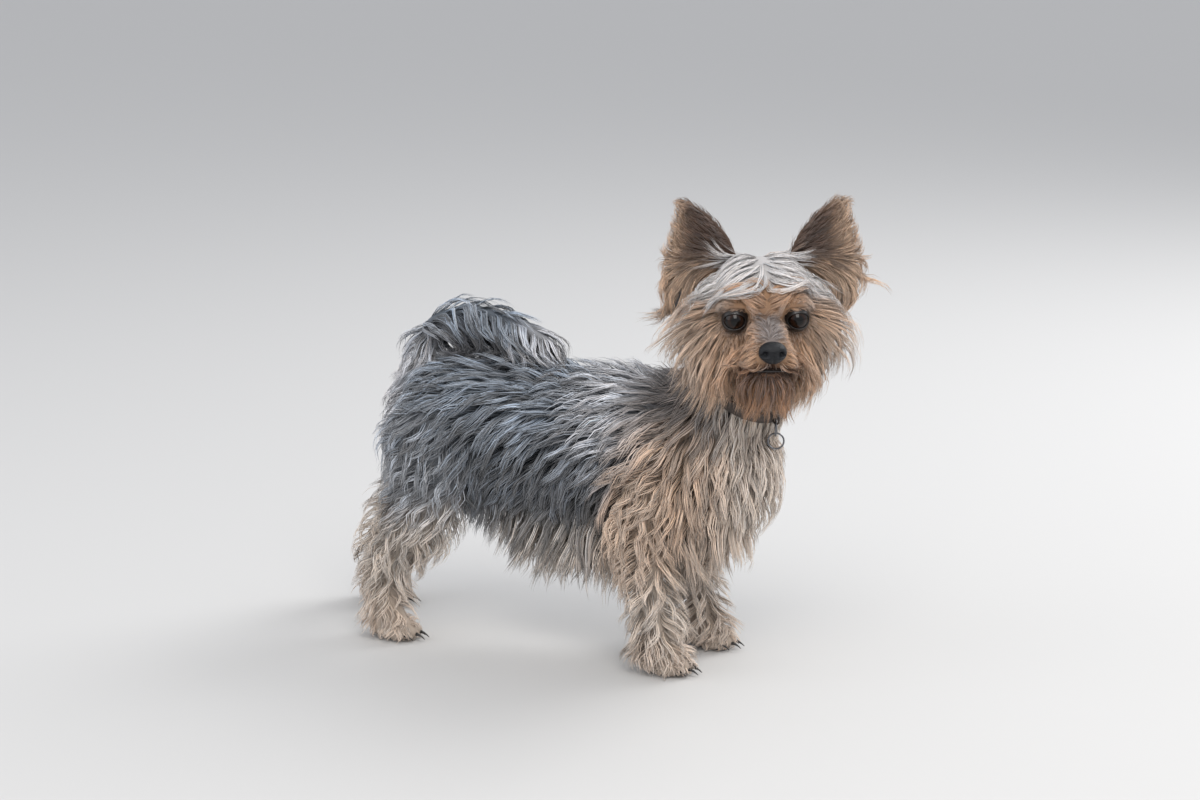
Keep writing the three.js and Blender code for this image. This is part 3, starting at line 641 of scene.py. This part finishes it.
# Inside each ear, on the side that faces forward, the hair is darkened: partly its own dark brown, partly
# painted shade in the hollow.
dark_hair_and_shade_in_ear = (1 - smooth(aside, 38, 56)) * (face_normal[:, 0] > 0.2) * smooth(Z, 26, 38)
paint(on_ear * dark_hair_and_shade_in_ear, EAR_DARK_AND_SHADE, 0.85)
paint(on_ear * smooth(aside, 46, 60), FAWN, 0.8)
paint(on_ear * (1 - smooth(Z, 24, 40)), FAWN, 0.9)
spread[trunk | tail] = 0.7
spread[trunk & (x > 80)] = 0.35
spread[legs & (x < 0) & (z > 90)] = 0.6
spread[on_head] = 0.22
pale_tip = np.full(count, 0.22)
pale_tip[on_head] = 0.3
pale_tip[on_head & (Z < -24)] = 0.08
pale_tip[on_ear] = 0.15


def even(values, rounds):
    """Spreads values along the skin's edges, so that they change gently."""
    values = values.copy()
    shape = values.shape
    values = values.reshape(count, -1)
    degree = np.bincount(edges.ravel(), minlength=count)[:, None] + 1
    for _ in range(rounds):
        total = values.copy()
        for column in range(values.shape[1]):
            total[:, column] += np.bincount(edges[:, 0], values[edges[:, 1], column], count)
            total[:, column] += np.bincount(edges[:, 1], values[edges[:, 0], column], count)
        values = total / degree
    return values.reshape(shape)


lie /= np.linalg.norm(lie, axis=1)[:, None] + 1e-9
lie = even(lie, 7)
lie -= normal * (lie * normal).sum(1)[:, None] * 0.9
lie /= np.linalg.norm(lie, axis=1)[:, None] + 1e-9
length = even(length, 4)
depth = even(depth, 5)
hang = even(hang, 5)
curl = even(curl, 5)
width = even(width, 3)
shade = even(shade, 4)
ruffle = even(ruffle, 3)
spread = even(spread, 4)
pale_tip = even(pale_tip, 4)
tone = skin.data.color_attributes.new("coat_colour", "FLOAT_COLOR", "POINT")
tone.data.foreach_set("color", np.hstack([shade * 0.5, np.ones((count, 1))]).ravel())

# The tufts of the coat. Guides are rooted all over the skin and led along its lie, lifting off it to
# the coat's depth and waving as they go. Each tuft is a thin solid that follows its nearest guide and
# closes on it towards the tip, so that the coat parts into locks as a silky coat does.
skin.data.calc_loop_triangles()
corners = read(skin.data.loop_triangles, "vertices", 3, int)
loops = read(skin.data.loop_triangles, "loops", 3, int)
skin_uv = read(skin.data.uv_layers["OFBake"].data, "uv", 2)
tree = BVHTree.FromPolygons([tuple(p) for p in spot], [tuple(c) for c in corners])
area = np.linalg.norm(
    np.cross(spot[corners[:, 1]] - spot[corners[:, 0]], spot[corners[:, 2]] - spot[corners[:, 0]]), axis=1
)
SEED = 11
rng = np.random.default_rng(SEED)


def scatter(number, mask):
    """Places on the skin where the mask holds, as triangles and shares of their corners."""
    chance = area * density[corners].mean(1) * mask[corners].all(1)
    chosen = rng.choice(len(corners), number, p=chance / chance.sum())
    a, b = rng.random((2, number))
    flip = a + b > 1
    a[flip], b[flip] = 1 - a[flip], 1 - b[flip]
    return chosen, np.stack([1 - a - b, a, b], 1)


def at(values, chosen, mix):
    picked = values[corners[chosen]]
    if picked.ndim == 2:
        return (picked * mix).sum(1)
    return (picked * mix[:, :, None]).sum(1)


STEPS = 10
IN_METRES = 0.001
FLOOR_CLEAR = 0.001
ROOT_DEPTH = 0.0012


def lead(start, facing, way, long, deep, drop, wave, rank):
    """One guide from its root to its tip, kept on or above the skin."""
    place = Vector(start) - Vector(facing) * ROOT_DEPTH
    heading = Vector(way)
    path = [place.copy()]
    step = long / STEPS
    begins = from_frame(start)
    phase = 0.05 * begins[0] + 0.075 * begins[2] + 0.03 * begins[1] + rng.random() * 1.6
    for k in range(STEPS):
        s = (k + 1) / STEPS
        found, here_normal, face_index, gap = tree.find_nearest(place)
        turn = Vector(lie[corners[face_index][0]])
        if (place - found).dot(here_normal) < 0:
            gap = -gap
        want = deep * rank * (1 - math.exp(-(3.2 + 50 * max(0, deep - 0.02)) * s))
        heading = heading * 0.55 + turn * 0.45 + Vector((0, 0, -drop * (0.4 + s)))
        most = 0.9 + 26 * max(0, deep - 0.018)
        keep = max(-0.5 + 0.9 * min(drop, 0.5), min(most, (want - gap) / step * 0.45))
        heading = heading.normalized() + here_normal * keep
        side = heading.cross(here_normal).normalized()
        heading = heading + side * wave * 0.34 * math.cos(phase + s * 6.2)
        heading.normalize()
        place = place + heading * step
        place.z = max(place.z, FLOOR_CLEAR)
        path.append(place.copy())
    return np.array(path)


NOSE_MIDDLE = [30, 0, -15]
COLLAR_MIDDLE = np.array([154.0, -7.0, 220.0])
COLLAR_AXIS = np.array([0.557, -0.247, 0.794])
RING_FACES = np.array([0.41, -0.91, 0])
RING_MIDDLES = [from_frame(middle_of(name) / 1000) for name in ("ring_upper", "ring_lower")]


def in_the_way(line):
    """Tufts that would lie over an eye, the nose, the mouth, the front of the collar or its rings."""
    there = from_frame(line)
    on_face = dog_to_head(there)
    bad = np.zeros(line.shape[:2], bool)
    for side in (-1, 1):
        local = on_face - [-EYE_BEHIND, side * EYE_ASIDE, -0.6]
        bad |= (local[..., 0] > 0) & (np.hypot(local[..., 1] / 7.6, local[..., 2] / 6.2) < 1)
    local = on_face - NOSE_MIDDLE
    bad |= (local[..., 0] > -5) & (np.hypot(local[..., 1] / 9.6, local[..., 2] / 7.8) < 1)
    lip_height = -30.5 - 0.014 * on_face[..., 1] ** 2
    on_lips = np.abs(on_face[..., 2] - lip_height) < 1.0
    bad |= on_lips & (np.abs(on_face[..., 1]) < 15) & (on_face[..., 0] > 6)
    local = there - COLLAR_MIDDLE
    along = local @ COLLAR_AXIS
    out_from = np.linalg.norm(local - along[..., None] * COLLAR_AXIS, axis=-1)
    front = (local[..., 0] > -2) & (local[..., 1] < 26) & (there[..., 2] < 226)
    bad |= (np.abs(along) < 6) & (out_from > 33) & front
    for middle in RING_MIDDLES:
        local = there - middle
        before_ring = np.linalg.norm(np.cross(local, RING_FACES), axis=-1) < 8
        bad |= (np.linalg.norm(local, axis=-1) < 9) | ((local @ RING_FACES > 0) & before_ring)
    return bad.any(axis=1)


BLOCK = 400
SAME_SIDE = 0.00004


def nearest_guides(root, facing, g_root, g_normal):
    """The guide that each tuft follows: the nearest one on skin that faces much the same way."""
    picks = np.zeros(len(root), int)
    best = np.full(len(root), 1e9)
    for start in range(0, len(g_root), BLOCK):
        block = g_root[start : start + BLOCK]
        gap = ((root[:, None] - block[None]) ** 2).sum(2)
        gap += SAME_SIDE * (1 - facing @ g_normal[start : start + BLOCK].T)
        nearest_here = gap.argmin(1)
        value = gap[np.arange(len(root)), nearest_here]
        closer = value < best
        best[closer] = value[closer]
        picks[closer] = nearest_here[closer] + start
    return picks


def tuft_faces(number, rows):
    """The triangles of closed tufts: rows of three corners, closed at the root and at a point."""
    faces = [(0, 2, 1)]
    for r in range(rows - 1):
        for k in range(3):
            a, b = r * 3 + k, r * 3 + (k + 1) % 3
            faces += [(a, b, b + 3), (a, b + 3, a + 3)]
    for k in range(3):
        faces.append(((rows - 1) * 3 + k, (rows - 1) * 3 + (k + 1) % 3, rows * 3))
    first = np.arange(number) * (rows * 3 + 1)
    return (np.array(faces)[None] + first[:, None, None]).reshape(-1)


SECTION = np.radians([90, 210, 330])
FLATNESS = 0.36
FRAY = 0.0008
TIP_COLOUR = np.array([0.72, 0.68, 0.66])
UV_PATCH = 0.0015


def tufts(name, mask, number, guides, rows, together):
    """One piece of coat: its guides are led first, and then its tufts are drawn along them."""
    g_at, g_mix = scatter(guides, mask)
    g_root = at(spot, g_at, g_mix)
    g_normal = at(normal, g_at, g_mix)
    g_lie = at(lie, g_at, g_mix)
    tousle = rng.normal(0, 1, (guides, 3)) * at(ruffle, g_at, g_mix)[:, None]
    g_lie = g_lie + tousle - g_normal * (tousle * g_normal).sum(1)[:, None]
    g_long = at(length, g_at, g_mix) * IN_METRES * rng.uniform(0.82, 1.12, guides)
    g_deep = at(depth, g_at, g_mix) * IN_METRES
    g_drop = at(hang, g_at, g_mix)
    g_wave = at(curl, g_at, g_mix)
    g_rank = rng.uniform(0.35, 1.0, guides) ** 0.8
    paths = np.array(
        [
            lead(g_root[i], g_normal[i], g_lie[i], g_long[i], g_deep[i], g_drop[i], g_wave[i], g_rank[i])
            for i in range(guides)
        ]
    )
    g_tone = rng.normal(0, 1, guides)

    t_at, t_mix = scatter(number, mask)
    root = at(spot, t_at, t_mix)
    facing = at(normal, t_at, t_mix)
    picks = nearest_guides(root, facing, g_root, g_normal)
    guide = paths[picks]
    long = rng.uniform(0.72, 1.06, number)
    s = np.linspace(0, 1, rows + 1)
    spots = np.clip(s[None] * long[:, None], 0, 1) * STEPS
    i = np.minimum(spots.astype(int), STEPS - 1)
    t = (spots - i)[:, :, None]
    n = np.arange(number)[:, None]
    line = guide[n, i] * (1 - t) + guide[n, i + 1] * t
    offset = root - guide[:, 0] - facing * ROOT_DEPTH
    close = 1 - together * s[None, :, None] ** 0.9
    line = line + offset[:, None] * close
    fray = rng.normal(0, 1, (number, 1, 3)) * FRAY * s[None, :, None] ** 1.3
    line = line + fray
    line[:, :, 2] = np.maximum(line[:, :, 2], FLOOR_CLEAR)
    stays = ~in_the_way(line)
    line, t_at, t_mix, picks, facing = line[stays], t_at[stays], t_mix[stays], picks[stays], facing[stays]
    number = len(line)

    tangent = np.gradient(line, axis=1)
    tangent /= np.linalg.norm(tangent, axis=2)[:, :, None] + 1e-9
    side = np.cross(tangent, facing[:, None] + rng.normal(0, 0.25, (number, 1, 3)))
    side /= np.linalg.norm(side, axis=2)[:, :, None] + 1e-9
    off = np.cross(side, tangent)
    taper = np.interp(s, [0, 0.25, 0.6, 1], [0.75, 1, 0.8, 0.0])
    half = at(width, t_at, t_mix)[:, None] * IN_METRES / 2 * taper[None]
    half = half * rng.uniform(0.75, 1.2, (number, 1))
    ring = np.cos(SECTION)[None, None, :, None] * side[:, :, None] * half[:, :, None, None]
    ring = ring + np.sin(SECTION)[None, None, :, None] * off[:, :, None] * half[:, :, None, None] * FLATNESS
    body = (line[:, :rows, None] + ring[:, :rows]).reshape(number, rows * 3, 3)
    vertices = np.concatenate([body, line[:, rows:]], axis=1)

    each = rows * 3 + 1
    all_faces = tuft_faces(number, rows)

    mesh = bpy.data.meshes.new(name)
    mesh.vertices.add(number * each)
    mesh.vertices.foreach_set("co", vertices.ravel())
    mesh.loops.add(len(all_faces))
    mesh.loops.foreach_set("vertex_index", all_faces.astype(np.int32))
    polygons = len(all_faces) // 3
    mesh.polygons.add(polygons)
    mesh.polygons.foreach_set("loop_start", np.arange(polygons, dtype=np.int32) * 3)
    mesh.polygons.foreach_set("use_smooth", np.ones(polygons, bool))
    mesh.update()

    colour = at(shade, t_at, t_mix)
    vary_by = at(spread, t_at, t_mix)[:, None]
    streak = np.exp(vary_by * (0.75 * g_tone[picks][:, None] + rng.normal(0, 0.5, (number, 1))))
    brightest = 0.9 / colour.max(axis=1, keepdims=True)
    colour = colour * np.minimum(np.clip(streak, 0.12, 2.4), brightest)
    warm = rng.normal(0, 0.03, (number, 1)) * np.array([[1, 0, -1]])
    colour = np.clip(colour * (1 + warm), 0.004, 0.92)
    rising = np.interp(s, [0, 0.35, 1], [0.5, 0.98, 1.14])
    per_row = colour[:, None] * rising[None, :, None]
    tip = at(pale_tip, t_at, t_mix)[:, None, None] * s[None, :, None] ** 1.5
    per_row = per_row * (1 - tip) + TIP_COLOUR * tip
    per_vertex = np.concatenate([np.repeat(per_row[:, :rows], 3, axis=1), per_row[:, rows:]], axis=1)
    rgba = np.concatenate([per_vertex, np.ones((number, each, 1))], axis=2)
    attribute = mesh.color_attributes.new("coat_colour", "FLOAT_COLOR", "POINT")
    attribute.data.foreach_set("color", np.clip(rgba, 0, 1).ravel())

    strand = np.zeros((number, each, 3))
    round_tuft = np.tile([0, -1, 1], rows)
    strand[:, : rows * 3, 0] = round_tuft
    strand[:, : rows * 3, 1] = np.repeat(s[:rows], 3)
    strand[:, rows * 3, 1] = 1
    strand[:, :, 2] = rng.random((number, 1))
    layer = mesh.attributes.new("strand", "FLOAT_VECTOR", "POINT")
    layer.data.foreach_set("vector", strand.ravel())

    root_uv = (skin_uv[loops[t_at]] * t_mix[:, :, None]).sum(1)
    corner_uv = np.zeros((number, each, 2))
    corner_uv[:, : rows * 3, 0] = round_tuft * UV_PATCH
    corner_uv[:, : rows * 3, 1] = (np.repeat(np.arange(rows), 3) / rows * 2 - 1) * UV_PATCH
    corner_uv[:, rows * 3, 1] = UV_PATCH
    corner_uv += root_uv[:, None]
    layer = mesh.uv_layers.new(name="OFBake")
    layer.data.foreach_set("uv", corner_uv.reshape(-1, 2)[all_faces].ravel())

    piece = bpy.data.objects.new(name, mesh)
    bpy.context.scene.collection.objects.link(piece)
    piece.data.materials.append(coat_finish)
    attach(piece, "root")
    return piece


# Hair takes its colour from the coat's own markings, with the shade painted into them. Its grain runs along
# each tuft, so single hairs show in it as lighter and glossier streaks.
coat_finish, nodes, links, surface = finish("silky_hair")
marking = nodes.new("ShaderNodeVertexColor")
marking.layer_name = "coat_colour"
strand = nodes.new("ShaderNodeAttribute")
strand.attribute_name = "strand"
spreading = nodes.new("ShaderNodeVectorMath")
spreading.operation = "MULTIPLY"
spreading.inputs[1].default_value = (2.6, 0.9, 97.0)
links.new(strand.outputs["Vector"], spreading.inputs[0])
hairs = lay_grain(nodes, links, surface, 1.0, 0.0003, 0.5, 3.0, spreading.outputs["Vector"])
lighten = nodes.new("ShaderNodeMapRange")
for name, value in (("From Min", 0.32), ("From Max", 0.68), ("To Min", 0.55), ("To Max", 1.3)):
    lighten.inputs[name].default_value = value
links.new(hairs.outputs["Grain"], lighten.inputs["Value"])
streaked = nodes.new("ShaderNodeVectorMath")
streaked.operation = "SCALE"
links.new(marking.outputs["Color"], streaked.inputs[0])
links.new(lighten.outputs["Result"], streaked.inputs["Scale"])
links.new(streaked.outputs["Vector"], surface.inputs["Base Color"])
gloss = nodes.new("ShaderNodeMapRange")
gloss.inputs["To Min"].default_value = 0.42
gloss.inputs["To Max"].default_value = 0.66
links.new(hairs.outputs["Grain"], gloss.inputs["Value"])
links.new(gloss.outputs["Result"], surface.inputs["Roughness"])
surface.inputs["Specular IOR Level"].default_value = 0.4
surface.inputs["Sheen Weight"].default_value = 0.2

# Ten pieces of coat lie over the skin from nose to tail. The left and right ones overlap at the
# middle, so that no bare line shows there.
head_zone = on_head & ~on_ear
by_face = head_zone & (X > -24)
tufts("coat_face_right", by_face & (Y <= 2), 6400, 1100, 5, together=0.3)
tufts("coat_face_left", by_face & (Y >= -2), 5700, 1000, 5, together=0.3)
tufts("coat_crown", head_zone & (X <= -20), 5700, 900, 5, together=0.35)
tufts("coat_ears", on_ear, 5600, 900, 4, together=0.3)
body = ~on_head & ~on_ear
tufts("coat_trunk_right", body & trunk & (y <= 1) & (x < 75), 6400, 900, 5, together=0.45)
tufts("coat_trunk_left", body & trunk & (y >= -1) & (x < 75), 4400, 700, 5, together=0.45)
tufts("coat_chest", body & trunk & (x >= 73), 5800, 800, 5, together=0.45)
tufts("coat_forelegs", body & legs & (x > 0), 5700, 760, 5, together=0.5)
tufts("coat_hindlegs", body & legs & (x <= 0), 5700, 760, 5, together=0.5)
tufts("coat_tail", body & tail, 3600, 360, 5, together=0.5)

# The eyes: round glass eyes, as a museum model has, with dark brown irises round wide pupils under a
# wet, clear front. Each one sits in its socket and bulges a little at the front.
EYE_RADIUS = 8.2
PUPIL = np.array([0.002, 0.0016, 0.0016])
IRIS = np.array([0.016, 0.006, 0.003])
EYE_WHITE = np.array([0.03, 0.018, 0.014])
eye_finish, nodes, links, surface = finish("wet_dark_eye")
iris = nodes.new("ShaderNodeVertexColor")
iris.layer_name = "iris_colour"
links.new(iris.outputs["Color"], surface.inputs["Base Color"])
surface.inputs["Roughness"].default_value = 0.04
surface.inputs["Specular IOR Level"].default_value = 0.12
surface.inputs["Coat Weight"].default_value = 0.35
surface.inputs["Coat Roughness"].default_value = 0.02
for name, middle in eye_middles.items():
    bpy.ops.mesh.primitive_uv_sphere_add(segments=64, ring_count=40, radius=EYE_RADIUS / 1000)
    eye = bpy.context.object
    eye.name = "eyeball_" + name
    co = places(eye)
    gaze = HEAD_AXES @ np.array([1, 0.04 * (1 if name == "left" else -1), 0.08])
    gaze /= np.linalg.norm(gaze)
    turn = co @ gaze / (EYE_RADIUS / 1000)
    from_axis = np.degrees(np.arccos(np.clip(turn, -1, 1)))
    bulge = 1 + 0.05 * smooth(-from_axis, -44, 0)
    tint = PUPIL + (IRIS - PUPIL) * smooth(from_axis, 21, 30)[:, None]
    tint = tint + (PUPIL - tint) * smooth(from_axis, 40, 46)[:, None]
    tint = tint + (EYE_WHITE - tint) * smooth(from_axis, 60, 70)[:, None]
    set_places(eye, co * bulge[:, None] + middle / 1000)
    layer = eye.data.color_attributes.new("iris_colour", "FLOAT_COLOR", "POINT")
    layer.data.foreach_set("color", np.hstack([tint, np.ones((len(tint), 1))]).ravel())
    bpy.ops.object.shade_smooth()
    eye.data.materials.append(eye_finish)
    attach(eye, "root")
    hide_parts("eye_" + name)

# The lids: bare, dark, damp skin that closes to an almond round the front of each eye. Each is one
# closed shell, a fraction of a millimetre off the eyeball, and lies over the edge of its socket.
rim_finish, nodes, links, surface = finish("dark_rim")
lay_grain(nodes, links, surface, 700, 0.0003)
surface.inputs["Base Color"].default_value = (0.012, 0.009, 0.008, 1)
surface.inputs["Roughness"].default_value = 0.32

LID_ACROSS = 66
LID_HIGH = 44
UPPER_LID_HIGH = 38
LID_STEPS = 56
# A section of a lid, in degrees past its opening and millimetres from the eye's middle: from the inner
# face round the damp edge, out over the socket and back behind.
LID_OFF = [9, 3, 0, -1, 0, 3, 8, 15, 24, 36, 40, 36]
LID_OUT = [8.35, 8.35, 8.4, 8.6, 8.85, 9.0, 9.1, 9.3, 9.5, 9.4, 9.0, 8.4]
for side, name in ((-1, "right"), (1, "left")):
    gaze = np.array([1, 0.16 * side, 0.02])
    gaze /= np.linalg.norm(gaze)
    level = np.cross([0, 0, 1], gaze)
    level /= np.linalg.norm(level)
    upright = np.cross(gaze, level)
    corners_here = []
    for k in range(LID_STEPS):
        turn = 2 * math.pi * k / LID_STEPS
        across, high = math.cos(turn), math.sin(turn)
        lid_high = UPPER_LID_HIGH if high > 0 else LID_HIGH
        opening = 1 / math.hypot(across / LID_ACROSS, high / lid_high)
        for off, out_here in zip(LID_OFF, LID_OUT):
            theta = math.radians(opening + off)
            aim = gaze * math.cos(theta) + (level * across + upright * high) * math.sin(theta)
            corners_here.append(aim * out_here + [-EYE_BEHIND, side * EYE_ASIDE, 0])
    loop = len(LID_OFF)
    faces = []
    for k in range(LID_STEPS):
        nxt = (k + 1) % LID_STEPS
        for j in range(loop):
            up_one = (j + 1) % loop
            faces.append((k * loop + j, k * loop + up_one, nxt * loop + up_one, nxt * loop + j))
    mesh = bpy.data.meshes.new("lids_" + name)
    mesh.from_pydata([tuple(p) for p in to_frame(head_to_dog(corners_here))], [], faces)
    shell = bmesh.new()
    shell.from_mesh(mesh)
    bmesh.ops.recalc_face_normals(shell, faces=shell.faces)
    shell.to_mesh(mesh)
    shell.free()
    lid = bpy.data.objects.new("lids_" + name, mesh)
    bpy.context.scene.collection.objects.link(lid)
    mesh.polygons.foreach_set("use_smooth", [True] * len(mesh.polygons))
    mesh.materials.append(rim_finish)
    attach(lid, "root")

# The nose: bare, pebbled, near-black leather, squared off, with a nostril each side that opens into a
# slit and a groove down the middle. It sits on the end of the muzzle.
NOSE_SIZE = np.array([7.2, 10.0, 8.0])
bpy.ops.mesh.primitive_uv_sphere_add(segments=72, ring_count=48, radius=1)
nose = bpy.context.object
nose.name = "nose_leather"
unit = places(nose)
squared = np.sign(unit) * np.abs(unit) ** np.array([1.0, 0.88, 0.92])
shape = squared * NOSE_SIZE
narrow = 1 - 0.22 * smooth(-unit[:, 2], 0.1, 1)
shape[:, 1] *= narrow
for side in (-1, 1):
    hole = np.exp(-(((unit[:, 1] - side * 0.5) / 0.2) ** 2) - (((unit[:, 2] - 0.02) / 0.2) ** 2))
    slit = np.exp(-(((unit[:, 1] - side * 0.78) / 0.16) ** 2) - (((unit[:, 2] + 0.12) / 0.09) ** 2))
    shape[:, 0] -= (hole * 4.2 + slit * 2.6) * (unit[:, 0] > 0)
shape[:, 0] -= 1.1 * np.exp(-((unit[:, 1] / 0.07) ** 2)) * (unit[:, 2] < 0.25) * (unit[:, 0] > 0)
set_places(nose, to_frame(head_to_dog(shape + NOSE_MIDDLE)))
bpy.ops.object.shade_smooth()
nose_finish, nodes, links, surface = finish("pebbled_nose")
pebbles = nodes.new("ShaderNodeTexVoronoi")
pebbles.inputs["Scale"].default_value = 1300
place = nodes.new("ShaderNodeTexCoord")
links.new(place.outputs["Object"], pebbles.inputs["Vector"])
rise = nodes.new("ShaderNodeBump")
rise.inputs["Strength"].default_value = 0.7
rise.inputs["Distance"].default_value = 0.0004
links.new(pebbles.outputs["Distance"], rise.inputs["Height"])
links.new(rise.outputs["Normal"], surface.inputs["Normal"])
surface.inputs["Base Color"].default_value = (0.006, 0.0068, 0.009, 1)
surface.inputs["Roughness"].default_value = 0.42
surface.inputs["Specular IOR Level"].default_value = 0.3
nose.data.materials.append(nose_finish)
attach(nose, "root")
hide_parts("nose")

# The lips: the closed mouth shows as a line of bare, dark skin, from under the nose back along both sides;
# the dark line also stands in for the shade that the moustache casts there. It is a round tube that lies on
# the muzzle and thins towards its ends.
TUBE_ROUND = 2
LIP_RADIUS = 0.0012
LIP_THINS = 0.0007


def tube(name, points, radius, material, closed=False):
    """A round tube through points in the frame, in metres, with its thickness at each."""
    curve = bpy.data.curves.new(name, "CURVE")
    curve.dimensions = "3D"
    curve.bevel_depth = 1
    curve.bevel_resolution = TUBE_ROUND
    spline = curve.splines.new("POLY")
    spline.points.add(len(points) - 1)
    for point, place_here, thickness in zip(spline.points, points, radius):
        point.co = (*place_here, 1)
        point.radius = thickness
    spline.use_cyclic_u = closed
    curve.use_fill_caps = not closed
    piece = bpy.data.objects.new(name, curve)
    bpy.context.scene.collection.objects.link(piece)
    bpy.ops.object.select_all(action="DESELECT")
    piece.select_set(True)
    bpy.context.view_layer.objects.active = piece
    bpy.ops.object.convert(target="MESH")
    bpy.ops.object.shade_smooth()
    piece = bpy.context.object
    piece.data.materials.append(material)
    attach(piece, "root")
    return piece


along_mouth = np.linspace(-1, 1, 41)
mouth = [(22 - 11 * abs(s) ** 2, 15 * s, -30.3 - 3.2 * s * s) for s in along_mouth]
lip_radii = [LIP_RADIUS - LIP_THINS * abs(s) for s in along_mouth]
tube("lips", to_frame(head_to_dog(mouth)), lip_radii, rim_finish)

# The claws: four of dark horn on each foot, short, curved down and tapered, each one set in the end of
# its toe.
CLAW_RADIUS = 0.0014
CLAW_LONG = 7.5
CLAW_DROP = 3.4
along_claw = np.linspace(0, 1, 7)
claw_radii = [CLAW_RADIUS * (1 - 0.8 * s) for s in along_claw]
for name, (x_foot, y_foot) in PAWS.items():
    for k, (along, out_toe, high, long) in enumerate(TOES):
        start = x_foot + along + long - 1
        claw = []
        for s in along_claw:
            claw.append((start + CLAW_LONG * s, y_foot + out_toe, high - 1.5 - CLAW_DROP * s * s))
        tube(f"claw_{name}_{k}", to_frame(claw), claw_radii, rim_finish)

# The collar: a plain band of worn, dark leather round the neck, mostly under the coat. Its solid stays
# as it is built, and only takes a finish.
collar_finish, nodes, links, surface = finish("worn_leather")
hide = lay_grain(nodes, links, surface, 260, 0.0005, detail=6)
ramp = nodes.new("ShaderNodeValToRGB")
ramp.color_ramp.elements[0].color = (0.012, 0.009, 0.008, 1)
ramp.color_ramp.elements[1].color = (0.06, 0.04, 0.03, 1)
links.new(hide.outputs["Grain"], ramp.inputs["Fac"])
links.new(ramp.outputs["Color"], surface.inputs["Base Color"])
surface.inputs["Roughness"].default_value = 0.55
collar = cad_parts["collar"]
collar.data.materials.clear()
collar.data.materials.append(collar_finish)

# The two rings: round wire of dark metal, scratched dull in places, one below the other at the front
# of the collar. Each is a closed tube in the plane of its solid, which it takes the place of.
RING_RADIUS = 0.0058
RING_STEPS = 48
WIRE_RADIUS = 0.00065
wire_finish, nodes, links, surface = finish("gunmetal_wire")
scratch = nodes.new("ShaderNodeTexNoise")
scratch.inputs["Scale"].default_value = 1500
place = nodes.new("ShaderNodeTexCoord")
links.new(place.outputs["Object"], scratch.inputs["Vector"])
dulled = nodes.new("ShaderNodeMapRange")
dulled.inputs["To Min"].default_value = 0.22
dulled.inputs["To Max"].default_value = 0.42
links.new(scratch.outputs["Fac"], dulled.inputs["Value"])
links.new(dulled.outputs["Result"], surface.inputs["Roughness"])
surface.inputs["Base Color"].default_value = (0.16, 0.16, 0.17, 1)
surface.inputs["Metallic"].default_value = 1.0
for name in ("ring_upper", "ring_lower"):
    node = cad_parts[name]
    co = np.array([v.co for v in node.data.vertices])
    centre = co.mean(0)
    flat = np.linalg.svd(co - centre, full_matrices=False)[2]
    points = []
    for angle in np.linspace(0, 2 * math.pi, RING_STEPS, endpoint=False):
        points.append(centre + RING_RADIUS * (flat[0] * math.cos(angle) + flat[1] * math.sin(angle)))
    ring = tube("wire_" + name, points, [WIRE_RADIUS] * RING_STEPS, wire_finish, closed=True)
    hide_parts(name)

# The stage: a plain, pale floor so wide that its far edge is out of sight, three soft studio lights
# and the camera, where the photo's camera stood.
FLOOR_SIZE = 120
bpy.ops.mesh.primitive_plane_add(size=FLOOR_SIZE, location=(0, 0, 0))
floor = bpy.context.object
floor.name = "floor"
floor_finish, _, _, surface = finish("pale_floor")
surface.inputs["Base Color"].default_value = (0.56, 0.555, 0.545, 1)
surface.inputs["Roughness"].default_value = 0.7
floor.data.materials.append(floor_finish)

world = bpy.data.worlds.new("studio")
bpy.context.scene.world = world
world.use_nodes = True
backdrop = world.node_tree.nodes["Background"]
backdrop.inputs["Color"].default_value = (0.93, 0.95, 1.0, 1)
backdrop.inputs["Strength"].default_value = 0.8


def light(name, place_at, aim, size_m, power, colour=(1, 1, 1)):
    lamp = bpy.data.lights.new(name, "AREA")
    lamp.size = size_m
    lamp.energy = power
    lamp.color = colour
    holder = bpy.data.objects.new(name, lamp)
    bpy.context.scene.collection.objects.link(holder)
    holder.location = place_at
    holder.rotation_euler = (Vector(aim) - Vector(place_at)).to_track_quat("-Z", "Y").to_euler()


light("key", (0.9, -1.5, 2.0), (0.05, 0, 0.18), 1.4, 34, (1, 0.97, 0.93))
light("fill", (-1.8, -1.4, 1.1), (0, 0, 0.15), 1.8, 12, (0.93, 0.96, 1))
light("back", (1.0, 1.6, 1.6), (0, 0, 0.2), 1.4, 34)

CAMERA_TURN = math.radians(25)
CAMERA_RISE = math.radians(12)
CAMERA_AWAY = 2200
LENS = 87
SENSOR = 36
LOOKS_AT = np.array([26.2, 12.2, 191.2])
toward = np.array(
    [
        math.sin(CAMERA_TURN) * math.cos(CAMERA_RISE),
        -math.cos(CAMERA_TURN) * math.cos(CAMERA_RISE),
        math.sin(CAMERA_RISE),
    ]
)
camera = bpy.data.objects.new("camera", bpy.data.cameras.new("camera"))
bpy.context.scene.collection.objects.link(camera)
camera.data.lens = LENS
camera.data.sensor_width = SENSOR
camera.location = to_frame(LOOKS_AT + toward * CAMERA_AWAY)
camera.rotation_euler = Vector(-toward).to_track_quat("-Z", "Y").to_euler()
bpy.context.scene.camera = camera
bpy.context.scene.view_settings.view_transform = "Standard"
